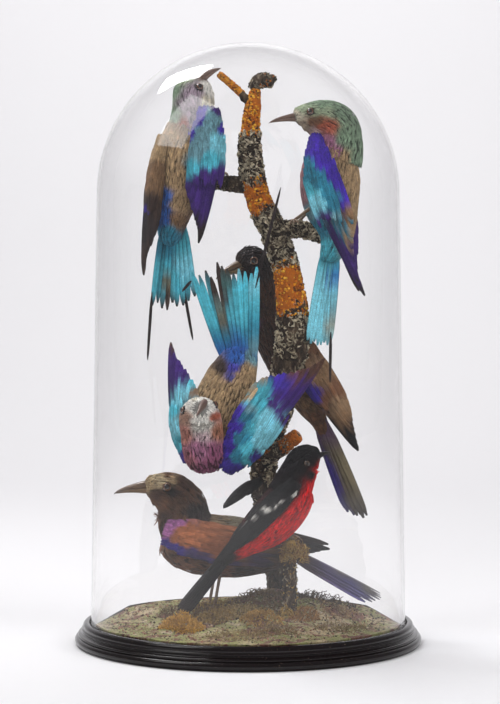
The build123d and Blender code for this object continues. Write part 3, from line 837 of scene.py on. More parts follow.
BIRDS = {
    "left_roller": dict(
        kind=LILAC_ROLLER,
        bill=((-48, -8, 619), (-30, -9, 629), (-0.6, -0.25, 0.75)),
        head=[
            (-46, -8, 617, 7, 9, 9, (-0.6, -0.25, 0.75)), (-51, -8, 611, 15, 18, 15, (-0.65, -0.25, 0.7)),
            (-56, -8, 600, 20, 26, 20, (-0.75, -0.3, 0.5)), (-60, -8, 583, 22, 24, 22, (-0.75, -0.5, 0.2)),
            (-64, -8, 563, 24, 22, 23, BACK_A), (-67, -8, 546, 26, 23, 23, BACK_A),
        ],
        torso=[
            (-64, -8, 574, 19, 17, 17, BACK_A), (-68, -8, 550, 28, 24, 24, BACK_A),
            (-74, -7, 518, 30, 27, 27, BACK_A), (-80, -5, 486, 25, 22, 22, BACK_A),
            (-84, -4, 460, 18, 14, 14, BACK_A), (-87, -2, 436, 11, 8, 8, BACK_A),
        ],
        eyes=(0.30, 80),
        head_dabs=[
            (-46, 620, 6, BROWN), (-42, 604, 9, WHITE), (-46, 590, 8, CREAM), (-60, 594, 13, LILAC_GREY),
            (-58, 574, 10, LILAC_GREY), (-82, 604, 10, SAGE), (-83, 572, 9, SAGE), (-71, 566, 6, RUST),
            (-72, 614, 8, SAGE_PALE), (-82, 550, 9, TAN), (-64, 552, 6, VIOLET),
        ],
        torso_dabs=[
            (-85, 537, 13, TAN), (-78, 508, 14, TAN), (-98, 508, 8, TAN), (-76, 480, 9, TAN),
            (-79, 462, 8, TAN_DEEP),
            (-92, 486, 10, BLUE), (-93, 466, 10, BLUE), (-88, 448, 9, TEAL), (-68, 560, 6, TAN_DEEP),
            (-60, 520, 8, GREY_TEAL),
        ],
        wings={
            "right": dict(
                points=[(-42, -27, 582), (-44, -32, 548), (-46, -32, 510), (-50, -24, 468),
                    (-53, -14, 436)],
                widths=[12, 20, 20, 12, 3], out=(0.3, -0.95, 0.0), lead=-1,
                dabs=[
                    (-30, 583, 6, PURPLE), (-52, 572, 6, VIOLET), (-66, 550, 6, VIOLET),
                    (-69, 534, 5, INDIGO),
                    (-40, 566, 8, GREY_TEAL), (-53, 540, 10, GREY_TEAL), (-30, 542, 9, BRIGHT),
                    (-41, 527, 7, TURQUOISE),
                    (-62, 514, 6, TURQUOISE), (-48, 504, 8, PURPLE), (-32, 508, 8, PURPLE),
                    (-62, 490, 8, PURPLE),
                    (-44, 480, 9, PURPLE), (-68, 476, 5, TAN_DEEP), (-53, 445, 10, SOOT),
                    (-26, 560, 5, VIOLET),
                ],
            ),
            "left": dict(
                points=[(-92, -20, 552), (-99, -24, 518), (-105, -22, 480), (-112, -14, 435),
                    (-117, -8, 402)],
                widths=[8, 12, 11, 9, 3], out=(-0.6, -0.78, 0.1), lead=1,
                dabs=[
                    (-92, 540, 12, TAN), (-98, 510, 12, TAN_DEEP), (-112, 505, 5, BROWN),
                    (-106, 478, 8, DARK),
                    (-114, 472, 5, INDIGO), (-108, 450, 10, SOOT), (-119, 448, 5, SOOT),
                    (-114, 415, 10, DARK),
                ],
            ),
        },
        tail=((-83, -3, 462), 22,
            [(-107, 4, 369), (-101, 3, 372), (-96, 1, 366), (-90, 0, 364), (-84, 0, 372), (-79, 0, 368),
              (-72, 1, 369), (-66, 2, 374), (-59, 3, 379)], BACK_A),
        tail_dabs=[
            (-92, 440, 12, TEAL), (-76, 440, 10, TURQUOISE), (-98, 410, 8, TURQUOISE), (-91, 395, 4, OLIVE),
            (-90, 372, 5, DARK), (-82, 400, 7, TURQUOISE), (-70, 405, 9, BRIGHT), (-72, 385, 5, TURQUOISE),
            (-104, 385, 5, TURQUOISE), (-104, 364, 4, DARK), (-80, 364, 4, DARK), (-70, 364, 4, DARK),
            (-57, 374, 4, DARK), (-96, 366, 4, DARK), (-88, 420, 4, DARK), (-86, 450, 5, BLUE),
        ],
        streamers=[((-106, 3, 384), (-111, 3, 309)), ((-71, 3, 388), (-61, 3, 331))],
        legs=[((-50, 12, 520), (-27, 10, 515), (0, 1, 0)), ((-54, 16, 516), (-38, 14, 514), (0, 1, 0))],
    ),
    "right_roller": dict(
        kind=LILAC_ROLLER,
        bill=((52, -10, 574), (22, -12, 569), (0.0, -0.05, 1.0)),
        head=[
            (50, -10, 574, 6, 7, 7, (0.0, -0.05, 1.0)), (60, -9, 576, 13, 13, 13, (0.05, -0.05, 1.0)),
            (76, -7, 573, 18, 22, 20, (0.15, -0.1, 0.97)), (94, -5, 564, 20, 27, 24, (0.4, -0.1, 0.9)),
            (101, -3, 545, 21, 25, 28, (0.8, -0.2, 0.55)), (98, -2, 522, 24, 28, 32, BACK_B),
        ],
        torso=[
            (97, -3, 548, 19, 21, 26, BACK_B), (92, -1, 512, 26, 31, 35, BACK_B),
            (93, 0, 476, 26, 28, 32, BACK_B),
            (93, 0, 443, 18, 22, 15, BACK_B), (85, 0, 418, 9, 11, 7, BACK_B),
        ],
        eyes=(0.27, 72),
        head_dabs=[
            (52, 577, 6, CREAM), (56, 586, 7, SAGE_PALE), (74, 581, 6, SAGE_PALE), (88, 579, 5, SAGE_PALE),
            (80, 592, 10, SAGE),
            (102, 578, 12, SAGE), (116, 548, 12, SAGE), (106, 552, 10, SAGE), (77, 568, 5, BROWN),
            (68, 568, 4, BROWN), (90, 564, 8, RUST),
            (80, 564, 5, RUST), (62, 564, 6, hue(170, 152, 132)), (74, 556, 5, hue(190, 160, 160)),
            (86, 546, 8, LILAC), (72, 546, 6, LILAC),
            (104, 530, 8, TAN), (118, 528, 8, SAGE), (60, 530, 8, LILAC_DEEP), (95, 536, 6, LILAC),
        ],
        torso_dabs=[
            (109, 512, 10, TAN), (117, 480, 12, TAN), (117, 445, 12, TAN), (104, 462, 8, TAN_DEEP),
            (118, 422, 8, TAN),
            (57, 510, 10, hue(160, 112, 116)), (59, 488, 8, hue(150, 110, 116)), (66, 470, 8, GREY_TEAL),
            (74, 450, 9, TEAL),
            (84, 430, 8, TURQUOISE), (90, 415, 7, TURQUOISE), (66, 534, 7, LILAC),
        ],
        wings={
            "left": dict(
                points=[(73, -22, 552), (75, -32, 530), (80, -36, 503), (88, -35, 476), (97, -30, 446),
                    (110, -20, 414), (126, -12, 378)],
                widths=[7, 14, 20, 21, 17, 11, 3], out=(-0.15, -0.98, 0.1), lead=1,
                dabs=[
                    (70, 540, 8, VIOLET), (80, 524, 8, VIOLET), (89, 510, 7, VIOLET), (98, 495, 6, VIOLET),
                    (103, 479, 5, VIOLET),
                    (64, 516, 8, TEAL), (77, 502, 9, TEAL), (89, 482, 9, TEAL), (100, 452, 7, TEAL),
                    (67, 489, 8, TURQUOISE),
                    (77, 476, 7, BRIGHT), (70, 484, 7, BRIGHT), (82, 458, 8, PURPLE), (88, 446, 9, PURPLE),
                    (96, 434, 9, PURPLE), (104, 422, 9, PURPLE),
                    (113, 408, 8, PURPLE), (126, 383, 9, SOOT), (108, 466, 6, TAN_DEEP), (112, 440, 7, TAN),
                    (120, 414, 6, TAN_DEEP),
                    (96, 462, 5, GREY_TEAL), (110, 500, 7, TAN),
                ],
            ),
            "right": dict(
                points=[(84, 25, 545), (92, 32, 500), (108, 26, 440), (122, 12, 384)],
                widths=[12, 18, 15, 4], out=(-0.1, 0.98, 0.1), lead=-1,
                dabs=[(84, 530, 14, VIOLET), (80, 490, 14, TURQUOISE), (100, 480, 14, TAN),
                    (110, 430, 16, PURPLE), (124, 390, 12, SOOT)],
            ),
        },
        tail=((92, 0, 440), 14, fan((65, -2, 331), (92, 3, 329), 8, (0, 0, -4), 2.0), (0.2, -0.95, 0.1)),
        tail_dabs=[
            (88, 420, 14, TURQUOISE), (80, 390, 10, BRIGHT), (76, 355, 10, BRIGHT), (92, 400, 4, BLUE),
            (93, 370, 4, GREY_TEAL),
            (92, 345, 5, hue(150, 160, 150)), (70, 340, 6, BRIGHT),
        ],
        streamers=[((91, 2, 340), (90, 2, 284))],
        legs=[((69, -12, 476), (50, -5, 462), (0, 1, 0)), ((69, 13, 476), (56, 8, 462), (0, 1, 0))],
    ),
    "diving_roller": dict(
        kind=LILAC_ROLLER,
        bill=((-48, -60, 262), (-54, -85, 252), (0.3, -0.3, 1.0)),
        head=[
            (-50, -63, 259, 7, 7, 7, (-0.2, 0.1, 1)), (-51, -56, 257, 16, 14, 15, (-0.2, 0.2, 1)),
            (-52, -44, 250, 22, 19, 20, (-0.2, 0.6, 0.8)), (-50, -35, 232, 23, 18, 22, (0, 1, 0.3)),
            (-47, -26, 212, 24, 18, 24, (0, 0.9, 0.4)), (-44, -12, 202, 24, 20, 20, (0, 0.3, 1)),
        ],
        torso=[
            (-43, -14, 200, 20, 14, 14, BACK_C), (-39, -12, 222, 30, 21, 24, BACK_C),
            (-32, -6, 250, 33, 22, 25, BACK_C),
            (-20, 0, 284, 29, 16, 17, BACK_C), (-11, 2, 308, 22, 9, 9, BACK_C),
            (-8, 2, 328, 17, 6, 6, BACK_C),
        ],
        eyes=(0.27, 74),
        head_dabs=[
            (-57, 263, 8, WHITE), (-50, 266, 8, WHITE), (-44, 258, 8, WHITE), (-49, 242, 10, WHITE),
            (-68, 248, 7, hue(180, 140, 120)),
            (-70, 230, 8, hue(190, 126, 112)), (-48, 228, 6, hue(216, 188, 194)), (-52, 212, 10, LILAC),
            (-36, 210, 8, LILAC_DEEP),
            (-62, 205, 8, hue(176, 106, 120)), (-42, 192, 10, LILAC_DEEP),
            (-32, 234, 7, hue(196, 130, 100)),
            (-58, 270, 6, CREAM), (-36, 250, 5, RUST),
        ],
        torso_dabs=[
            (-22, 276, 14, TAN), (-34, 262, 10, TAN), (-10, 288, 10, TAN), (-40, 285, 9, TAN),
            (-16, 300, 6, hue(70, 66, 170)),
            (-12, 312, 7, BLUE), (-10, 325, 7, BLUE), (5, 312, 7, GREY_TEAL),
            (-20, 290, 6, hue(84, 84, 160)), (-40, 220, 12, TAN_DEEP),
            (0, 298, 7, TAN), (-30, 300, 6, DARK),
        ],
        wings={
            "left": dict(
                points=[(-26, -28, 192), (-8, -33, 214), (9, -33, 242), (28, -32, 268), (52, -28, 290),
                    (85, -22, 312)],
                widths=[11, 22, 28, 26, 18, 4], out=(0.2, -0.96, -0.1), lead=1,
                dabs=[
                    (-28, 197, 6, INDIGO), (-24, 216, 7, VIOLET), (-16, 238, 7, VIOLET),
                    (-22, 228, 6, VIOLET), (-9, 253, 5, VIOLET),
                    (-16, 190, 6, INDIGO), (-4, 247, 7, TEAL), (-8, 226, 7, TEAL), (-12, 208, 6, TEAL),
                    (9, 266, 7, TURQUOISE),
                    (2, 258, 5, GREY_TEAL), (18, 236, 10, BRIGHT), (4, 238, 6, TURQUOISE),
                    (-2, 212, 7, TURQUOISE), (14, 222, 7, BRIGHT),
                    (6, 206, 4, INDIGO), (28, 246, 5, BRIGHT), (20, 279, 5, TURQUOISE),
                    (33, 284, 8, INDIGO), (47, 266, 9, PURPLE),
                    (30, 268, 6, PURPLE), (38, 250, 7, PURPLE), (34, 297, 6, VIOLET), (18, 295, 6, TAN),
                    (37, 307, 5, TAN),
                    (0, 276, 6, TAN), (54, 296, 6, hue(96, 56, 44)), (68, 296, 7, hue(84, 54, 44)),
                    (62, 280, 6, PURPLE),
                    (84, 312, 8, BROWN_DARK), (58, 272, 5, PURPLE),
                ],
            ),
            "right": dict(
                points=[(-64, -18, 200), (-73, -20, 236), (-74, -18, 280), (-84, -10, 330)],
                widths=[8, 14, 20, 7], out=(-0.5, -0.85, 0.0), lead=-1,
                dabs=[
                    (-91, 328, 7, BROWN_DARK), (-88, 308, 9, PURPLE), (-85, 288, 8, PURPLE),
                    (-86, 270, 6, PURPLE), (-68, 306, 10, PURPLE), (-74, 290, 6, PURPLE),
                    (-62, 316, 8, PURPLE),
                    (-78, 268, 5, BRIGHT), (-70, 278, 5, BRIGHT), (-62, 292, 5, TURQUOISE),
                    (-84, 256, 5, TURQUOISE), (-79, 236, 6, BRIGHT),
                    (-72, 250, 5, GREY_TEAL), (-74, 218, 6, TURQUOISE), (-66, 205, 6, INDIGO),
                    (-48, 296, 8, TAN), (-54, 276, 6, TAN_DEEP),
                    (-50, 322, 7, SOOT), (-60, 262, 6, GREY_TEAL),
                ],
            ),
        },
        tail=((-8, 0, 300), 30,
            [(-62, -10, 405), (-54, -11, 402), (-47, -12, 407), (-41, -14, 400), (-34, -14, 416),
                (-29, -14, 412),
              (-23, -14, 409), (-16, -14, 404), (-10, -14, 409), (-3, -13, 406), (4, -12, 404),
              (10, -12, 411)], BACK_C),
        tail_dabs=[
            (-8, 320, 10, BLUE), (8, 322, 7, GREY_TEAL), (-52, 380, 8, TURQUOISE), (-40, 360, 7, TURQUOISE),
            (-33, 400, 7, DARK),
            (-30, 384, 7, DARK), (-27, 366, 5, OLIVE), (-25, 348, 5, OLIVE), (-22, 404, 5, DARK),
            (-22, 395, 5, hue(70, 110, 110)), (-6, 390, 9, TURQUOISE),
            (-8, 360, 9, TURQUOISE), (2, 345, 8, TEAL), (8, 390, 5, BRIGHT), (-47, 405, 3, DARK),
            (-10, 408, 3, GREY_TEAL),
            (-14, 350, 5, TEAL), (-28, 335, 6, TEAL),
        ],
        streamers=[((8, -16, 388), (35, -38, 496)), ((-62, -12, 396), (-72, -18, 384))],
        legs=[((-10, 8, 268), (14, 20, 262), (0, 0.3, 1)), ((-6, 8, 284), (20, 18, 282), (0, 0.3, 1))],
    ),
    "rear_roller": dict(
        kind=RUFOUS_ROLLER,
        bill=((-12, 53, 412), (-37, 48, 400), (0.1, 0.0, 1.0)),
        head=[
            (-12, 54, 415, 5, 6, 6, (0.2, 0, 1)), (-5, 56, 418, 13, 15, 13, (0.3, 0, 1)),
            (4, 58, 417, 17, 20, 18, (0.5, 0, 0.85)), (11, 60, 402, 18, 19, 19, (0.8, 0, 0.5)),
            (14, 62, 385, 20, 20, 21, BACK_D), (20, 66, 364, 22, 21, 22, BACK_D),
        ],
        torso=[
            (10, 62, 396, 17, 17, 17, BACK_D), (22, 68, 360, 24, 23, 24, BACK_D),
            (42, 70, 312, 25, 23, 24, BACK_D),
            (66, 68, 266, 20, 17, 18, BACK_D), (80, 66, 240, 12, 10, 10, BACK_D),
            (88, 64, 222, 7, 6, 6, BACK_D),
        ],
        eyes=(0.36, 80),
        head_dabs=[(-12, 415, 8, DARK), (4, 430, 12, SOOT), (8, 405, 12, SOOT), (16, 385, 12, BROWN_DARK),
            (20, 365, 12, BROWN_DARK)],
        torso_dabs=[
            (14, 390, 10, SOOT), (12, 366, 9, BROWN_DARK), (8, 350, 6, hue(120, 84, 110)),
            (30, 340, 14, BROWN_DARK), (50, 310, 14, BROWN),
            (72, 268, 12, TAN_DEEP), (84, 240, 10, BROWN), (30, 310, 10, BROWN_DARK),
        ],
        wings={
            "left": dict(
                points=[(50, 46, 344), (66, 42, 306), (90, 42, 266), (110, 45, 234), (126, 47, 206)],
                widths=[11, 19, 18, 12, 4], out=(0.2, -0.96, 0.1), lead=1,
                dabs=[
                    (56, 330, 12, BROWN), (66, 300, 9, hue(140, 108, 82)), (84, 290, 8, TAN_DEEP),
                    (74, 268, 8, INDIGO), (86, 262, 8, BROWN),
                    (98, 258, 8, hue(150, 120, 90)), (104, 240, 8, TAN_DEEP), (96, 236, 7, BLACK),
                    (112, 226, 8, BLACK), (124, 212, 9, BLACK),
                    (82, 246, 7, BLACK), (100, 276, 7, BROWN),
                ],
            ),
            "right": dict(
                points=[(44, 96, 350), (66, 98, 305), (94, 94, 262), (126, 82, 212)],
                widths=[11, 18, 14, 4], out=(0.15, 0.95, 0.1), lead=-1,
                dabs=[(50, 340, 16, BROWN), (76, 290, 16, TAN_DEEP), (100, 250, 12, DARK),
                    (124, 215, 12, BLACK)],
            ),
        },
        tail=((80, 60, 246), 12, fan((110, 60, 140), (136, 54, 132), 8, (0, 0, -3), 2.0),
            (0.1, -0.96, 0.2)),
        tail_dabs=[
            (84, 236, 8, hue(110, 84, 110)), (92, 196, 6, INDIGO), (102, 166, 6, INDIGO),
            (112, 140, 6, hue(70, 62, 120)),
            (102, 206, 7, OLIVE), (114, 176, 7, OLIVE), (126, 150, 7, hue(88, 80, 66)), (132, 135, 5, SOOT),
        ],
        streamers=[],
        legs=[((26, 56, 314), (36, 34, 312), (0.7, 0, 0.7)), ((28, 58, 298), (36, 36, 292), (0.7, 0, 0.7))],
    ),
    "lower_roller": dict(
        kind=RUFOUS_ROLLER,
        bill=((-115, 28, 166), (-151, 25, 161), (0.0, 0.0, 1.0)),
        head=[
            (-116, 28, 166, 6, 8, 8, (0, 0, 1)), (-106, 29, 166, 14, 16, 15, (0, 0, 1)),
            (-89, 32, 160, 20, 24, 24, (0.2, 0, 0.98)), (-73, 35, 147, 21, 25, 29, (0.6, 0, 0.8)),
            (-68, 37, 130, 25, 26, 34, (0.7, 0, 0.7)), (-62, 39, 114, 27, 27, 34, (0.4, 0, 0.9)),
        ],
        torso=[
            (-86, 37, 120, 18, 18, 22, BACK_E), (-66, 39, 106, 28, 29, 34, BACK_E),
            (-18, 43, 100, 30, 33, 36, BACK_E),
            (25, 45, 97, 24, 26, 27, BACK_E), (50, 45, 92, 13, 13, 13, BACK_E),
            (62, 45, 86, 8, 8, 8, BACK_E),
        ],
        eyes=(0.33, 74),
        head_dabs=[
            (-112, 171, 6, hue(176, 152, 116)), (-99, 175, 7, hue(190, 170, 136)),
            (-84, 174, 5, hue(176, 150, 116)),
            (-90, 184, 6, BROWN), (-72, 172, 9, BROWN_DARK), (-60, 158, 10, hue(92, 62, 46)),
            (-84, 162, 6, SOOT), (-100, 160, 6, BROWN_DARK),
            (-98, 146, 9, BROWN), (-80, 146, 9, hue(96, 66, 48)), (-60, 140, 9, SOOT),
            (-92, 130, 8, BROWN_DARK), (-104, 128, 8, BROWN),
            (-74, 128, 8, BROWN),
        ],
        torso_dabs=[
            (-35, 132, 10, hue(112, 92, 64)), (-60, 130, 8, BROWN), (-10, 126, 10, OLIVE),
            (20, 118, 10, OLIVE), (-98, 112, 8, BROWN),
            (-90, 84, 8, BROWN), (-75, 78, 9, hue(146, 96, 70)), (-50, 72, 9, BROWN),
            (-30, 66, 9, hue(140, 92, 66)), (0, 70, 9, BROWN_DARK),
            (30, 76, 9, BROWN_DARK), (55, 88, 8, SOOT), (-100, 95, 7, hue(150, 104, 80)),
        ],
        wings={
            "left": dict(
                points=[(-92, 13, 118), (-62, 7, 112), (-22, 6, 104), (25, 12, 99), (62, 18, 99),
                    (92, 24, 100)],
                widths=[15, 21, 22, 15, 8, 3], out=(0.0, -0.98, 0.2), lead=-1,
                dabs=[
                    (-90, 126, 8, PINK), (-74, 130, 6, PINK), (-98, 116, 6, PINK),
                    (-60, 132, 5, hue(170, 108, 96)), (-70, 118, 10, CINNAMON),
                    (-44, 122, 11, CINNAMON), (-20, 118, 10, hue(150, 92, 58)), (-95, 106, 6, INDIGO),
                    (-80, 100, 6, INDIGO),
                    (-66, 94, 6, hue(76, 58, 120)), (-46, 88, 6, hue(70, 54, 104)),
                    (-20, 86, 6, hue(66, 52, 96)), (-36, 104, 8, hue(150, 88, 54)),
                    (-10, 102, 9, BROWN), (10, 88, 7, hue(64, 48, 84)), (15, 106, 9, hue(96, 68, 48)),
                    (45, 98, 10, SOOT), (85, 100, 12, BLACK),
                ],
            ),
            "right": dict(
                points=[(-88, 68, 122), (-40, 74, 112), (30, 70, 104), (92, 62, 101)],
                widths=[14, 20, 14, 4], out=(0.0, 0.98, 0.2), lead=1,
                dabs=[(-80, 125, 12, PINK), (-40, 118, 18, CINNAMON), (20, 100, 16, BROWN),
                    (80, 100, 14, SOOT), (-60, 95, 8, INDIGO)],
            ),
        },
        tail=((50, 44, 92), 16, fan((132, 28, 40), (150, 46, 48), 7, (8, 0, -2), 1.0), (0.45, -0.3, 0.84)),
        tail_dabs=[
            (70, 84, 10, hue(86, 74, 84)), (95, 66, 9, hue(96, 86, 130)), (125, 48, 8, hue(90, 84, 140)),
            (110, 74, 8, hue(110, 104, 100)),
            (140, 56, 8, hue(112, 108, 104)), (150, 42, 6, hue(80, 74, 90)),
        ],
        streamers=[],
        legs=[((-30, 30, 78), (-38, 26, 32), (1, 0, 0)), ((-36, 58, 78), (-44, 52, 33), (1, 0, 0))],
    ),
    "shrike": dict(
        kind=SHRIKE,
        bill=((77, -41, 207), (89, -43, 211), (-0.1, -0.3, 0.95)),
        head=[
            (78, -40, 207, 5, 5, 5, (-0.1, -0.3, 0.95)), (72, -39, 206, 12, 12, 12, (-0.15, -0.3, 0.93)),
            (61, -36, 201, 16, 18, 18, (-0.3, -0.4, 0.85)), (53, -34, 188, 18, 19, 23, BACK_F),
            (46, -33, 174, 20, 20, 27, BACK_F), (40, -32, 162, 22, 20, 29, BACK_F),
        ],
        torso=[
            (53, -33, 179, 15, 14, 24, BACK_F), (41, -32, 160, 22, 20, 33, BACK_F),
            (20, -30, 135, 24, 20, 32, BACK_F),
            (-5, -30, 112, 17, 14, 17, BACK_F), (-20, -31, 98, 9, 8, 9, BACK_F),
            (-28, -31, 90, 6, 5, 5, BACK_F),
        ],
        eyes=(0.33, 84),
        head_dabs=[
            (62, 210, 16, BLACK), (50, 194, 12, BLACK), (74, 209, 6, BLACK), (82, 200, 6, CRIMSON),
            (77, 188, 7, CRIMSON),
            (72, 170, 9, CRIMSON), (60, 160, 7, CRIMSON), (48, 172, 9, BLACK), (67, 187, 5, BLACK),
            (36, 168, 10, BLACK),
        ],
        torso_dabs=[
            (75, 178, 9, CRIMSON), (66, 158, 11, CRIMSON), (52, 142, 11, CRIMSON), (32, 130, 10, CRIMSON),
            (10, 118, 9, CRIMSON),
            (-6, 110, 7, CRIMSON), (50, 172, 9, BLACK), (34, 156, 9, BLACK), (12, 140, 9, BLACK),
            (-10, 122, 8, BLACK), (-24, 100, 8, BLACK),
        ],
        wings={
            "right": dict(
                points=[(50, -52, 178), (34, -57, 161), (8, -55, 137), (-20, -47, 110), (-44, -40, 82)],
                widths=[8, 12, 11, 8, 3], out=(-0.3, -0.93, 0.2), lead=1,
                dabs=[
                    (57, 169, 2.0, WHITE), (52, 167, 2.0, WHITE), (36, 160, 1.6, WHITE),
                    (28, 155, 1.4, WHITE), (20, 149, 1.4, WHITE),
                    (6, 141, 1.6, WHITE), (-4, 134, 1.4, WHITE), (-12, 128, 1.4, WHITE),
                    (44, 184, 9, BLACK), (50, 176, 6, BLACK),
                    (42, 154, 7, BLACK), (24, 166, 8, BLACK), (22, 138, 7, BLACK), (0, 150, 8, BLACK),
                    (0, 122, 8, BLACK), (-16, 138, 7, BLACK),
                    (-26, 112, 9, BLACK), (-42, 84, 10, BLACK), (12, 130, 7, BLACK), (-20, 100, 9, BLACK),
                ],
            ),
            "left": dict(
                points=[(14, -22, 178), (2, -20, 170), (-12, -18, 161), (-28, -16, 149)],
                widths=[4, 6, 6, 3], out=(-0.3, -0.8, 0.5), lead=-1,
                dabs=[(0, 165, 20, BLACK), (-25, 150, 20, BLACK)],
            ),
        },
        tail=((-20, -31, 102), 8, fan((-77, -40, 44), (-65, -36, 37), 6, (-2, 0, -2), 1.0),
            (-0.5, -0.7, 0.5)),
        tail_dabs=[(-20, 100, 10, BLACK), (-50, 70, 20, BLACK), (-72, 40, 10, SOOT)],
        streamers=[],
        legs=[((38, -22, 140), (43, -15, 116), (1, 0, 0)), ((46, -18, 146), (49, -9, 116), (1, 0, 0))],
    ),
}


def make_bird(name, density):
    """One mounted bird as separate pieces: body, bill, eyes, wings, tail and legs."""
    bird = BIRDS[name]
    kind = bird["kind"]
    rng = random.Random(name)
    small = as_template(small_feather(), "small_feather")
    blade = as_template(blade_feather(0.35), "blade_feather")
    head, torso = Skin(bird["head"]), Skin(bird["torso"])
    head_paint, torso_paint = Paint(bird["head_dabs"], 2.5), Paint(bird["torso_dabs"], 3.0)

    eye_t, eye_angle = bird["eyes"]
    eyes = []
    for sign in (-1, 1):
        place, ahead, normal = head.frame(eye_t, math.radians(eye_angle) * sign)
        eyes.append((place - normal * kind["eye"] * 0.30, normal))

    bm = new_mesh()
    torso.fill(bm, lambda t, a: torso_paint(torso.at(t, a)), shrink=0.05)
    head.fill(bm, lambda t, a: head_paint(head.at(t, a)), shrink=0.05)
    scale = kind["eye"] / 4.4
    clothe(bm, torso, small, torso_paint, rng, (0.03, 0.97), (0.42 / density, 0.70 / density),
           lambda t: (10 * scale, 2.9 * scale), 0.07, 0.08, 0.16)
    skip = [(place, kind["eye"] * 1.2) for place, normal in eyes]
    clothe(bm, head, small, head_paint, rng, (0.03, 0.95), (0.42 / density, 0.75 / density),
           lambda t: (5.0 * scale + 6 * scale * t, 1.7 * scale + 1.2 * scale * t), 0.08, 0.14, 0.18, skip)
    finish_piece(f"{name}_skin", bm, "plumage", [f"{name}_body"])

    bm = new_mesh()
    base, tip, up = bird["bill"]
    make_bill(bm, base, tip, up, kind["bill_size"], kind["bill"])
    finish_piece(f"{name}_beak", bm, "horn", [f"{name}_bill"])

    bm = new_mesh()
    for place, normal in eyes:
        make_eye(bm, place, normal, kind["eye"], kind["iris"])
    finish_piece(f"{name}_glass_eyes", bm, "eyes", [f"{name}_eyes"])

    for side, w in bird["wings"].items():
        bm = new_mesh()
        wing = Wing(w["points"], w["widths"], w["out"])
        dress_wing(bm, wing, Paint(w["dabs"], 8.0, 3.0), rng, small, blade, w["lead"], kind["tail_width"])
        finish_piece(f"{name}_{side}_wing_feathers", bm, "plumage", [f"{name}_{side}_wing"])

    bm = new_mesh()
    base, spread, tips, normal = bird["tail"]
    dress_tail(bm, base, spread, tips, Paint(bird["tail_dabs"], 4.0, 1.0), rng, blade, kind["tail_width"],
        normal)
    for a, b in bird["streamers"]:
        streamer(bm, a, b, blade, SOOT)
    finish_piece(f"{name}_tail_feathers", bm, "plumage", [f"{name}_tail"])

    bm = new_mesh()
    for hip, foot, across in bird["legs"]:
        foot, across = Vector(foot), unit(across)
        aside = Vector((0.45, 0.1, 0.0)) if abs(across.x) < 0.5 else Vector((0.0, 0.5, 0.0))
        toes = [
            foot + (across * sign + aside * k).normalized() * reach - Vector((0, 0, 2.5))
            for sign, k, reach in ((-1, 0, 11), (-1, 1, 10), (-1, -1, 10), (1, 0, 8))
        ]
        make_leg(bm, hip, foot, toes)
    finish_piece(f"{name}_shanks", bm, "legs", [f"{name}_legs"])


# ---------------------------------------------------------------- trunk, ground, plinth, dome
TRUNK = [
    (37, 108, 21, 16), (37, 108, 45, 16), (33, 106, 78, 15), (25, 96, 122, 14), (17, 62, 170, 13),
    (22, 32, 219, 14),
    (36, 20, 264, 16), (47, 15, 315, 18), (49, 12, 364, 17), (42, 8, 408, 14), (28, 4, 450, 13),
    (11, 0, 487, 13),
    (2, 0, 529, 11.5), (3, 0, 568, 9.5), (6, 0, 595, 7), (10, 0, 612, 6),
]
LIMBS = {
    "top_knob": [(4, 1, 606, 5), (10, 0, 614, 7), (20, -1, 617, 7.5), (28, -3, 613, 6)],
    "top_twig": [(3, 0, 592, 3.8), (-14, -1, 608, 3.6), (-33, -2, 624, 3)],
    "perch_left": [(4, 0, 500, 8), (-20, 3, 503, 8), (-46, 10, 506, 6)],
    "perch_right": [(28, 4, 452, 8), (57, 2, 453, 8), (88, 2, 443, 6)],
    "lower_stub": [(20, 34, 200, 9), (38, 22, 212, 8.5), (56, 14, 227, 7)],
}
POST = [(46, -12, 21, 7.5), (46, -12, 60, 7.5), (46, -12, 90, 7), (46, -12, 113, 7.5)]
ORANGE = (0.72, 0.27, 0.012)
ORANGE_DEEP = (0.50, 0.13, 0.006)
AMBER = (0.80, 0.42, 0.04)
LICHEN_PALE = (0.52, 0.44, 0.31)
LICHEN_GREY = (0.26, 0.215, 0.145)
LICHEN_DARK = (0.045, 0.03, 0.018)
STRAW = (0.42, 0.27, 0.07)
LICHEN_TILT = 0.9
MOSS_TILT = 1.6


def limb_skin(points):
    """A round limb through (x, y, z, radius) points."""
    up = (0.03, -1, 0.04)
    return Skin([(x, y, z, r, r, r, up) for x, y, z, r in points])


def barked(bm, points, rings, around, depth, seed, crust=()):
    """A limb with furrowed, knotty bark; crust is ((from t, to t, colour), ...) for lichen painted on it."""
    skin = limb_skin(points)

    def tint(t, angle):
        for low, high, colour in crust:
            wander = 0.03 * noise.noise(Vector((math.cos(angle) * 2, math.sin(angle) * 2, t * 25 + seed)))
            if low < t + wander < high:
                return (*colour, 1.0)
        return (*LICHEN_PALE, 0.25)

    made = skin.fill(bm, tint, rings, around)
    for v in made:
        centre = nearest_centre(skin, v.co)
        out = v.co - centre
        if out.length < 0.5:
            continue
        p = Vector((v.co.x * 0.11, v.co.y * 0.11, v.co.z * 0.045 + seed))
        rough = noise.fractal(p, 0.9, 2.1, 4)
        knots = noise.noise(Vector((v.co.x, v.co.y, v.co.z + seed * 50)) * 0.06)
        grit = noise.noise(v.co * 0.35)
        v.co += out.normalized() * depth * (rough * 1.1 + knots * 1.6 + grit * 0.8)
    return skin


def nearest_centre(skin, place):
    """The skin's axis point nearest to a place."""
    steps = 40
    best = min(range(steps + 1), key=lambda i: (smooth_run(skin.places, i / steps) - place).length)
    return smooth_run(skin.places, best / steps)


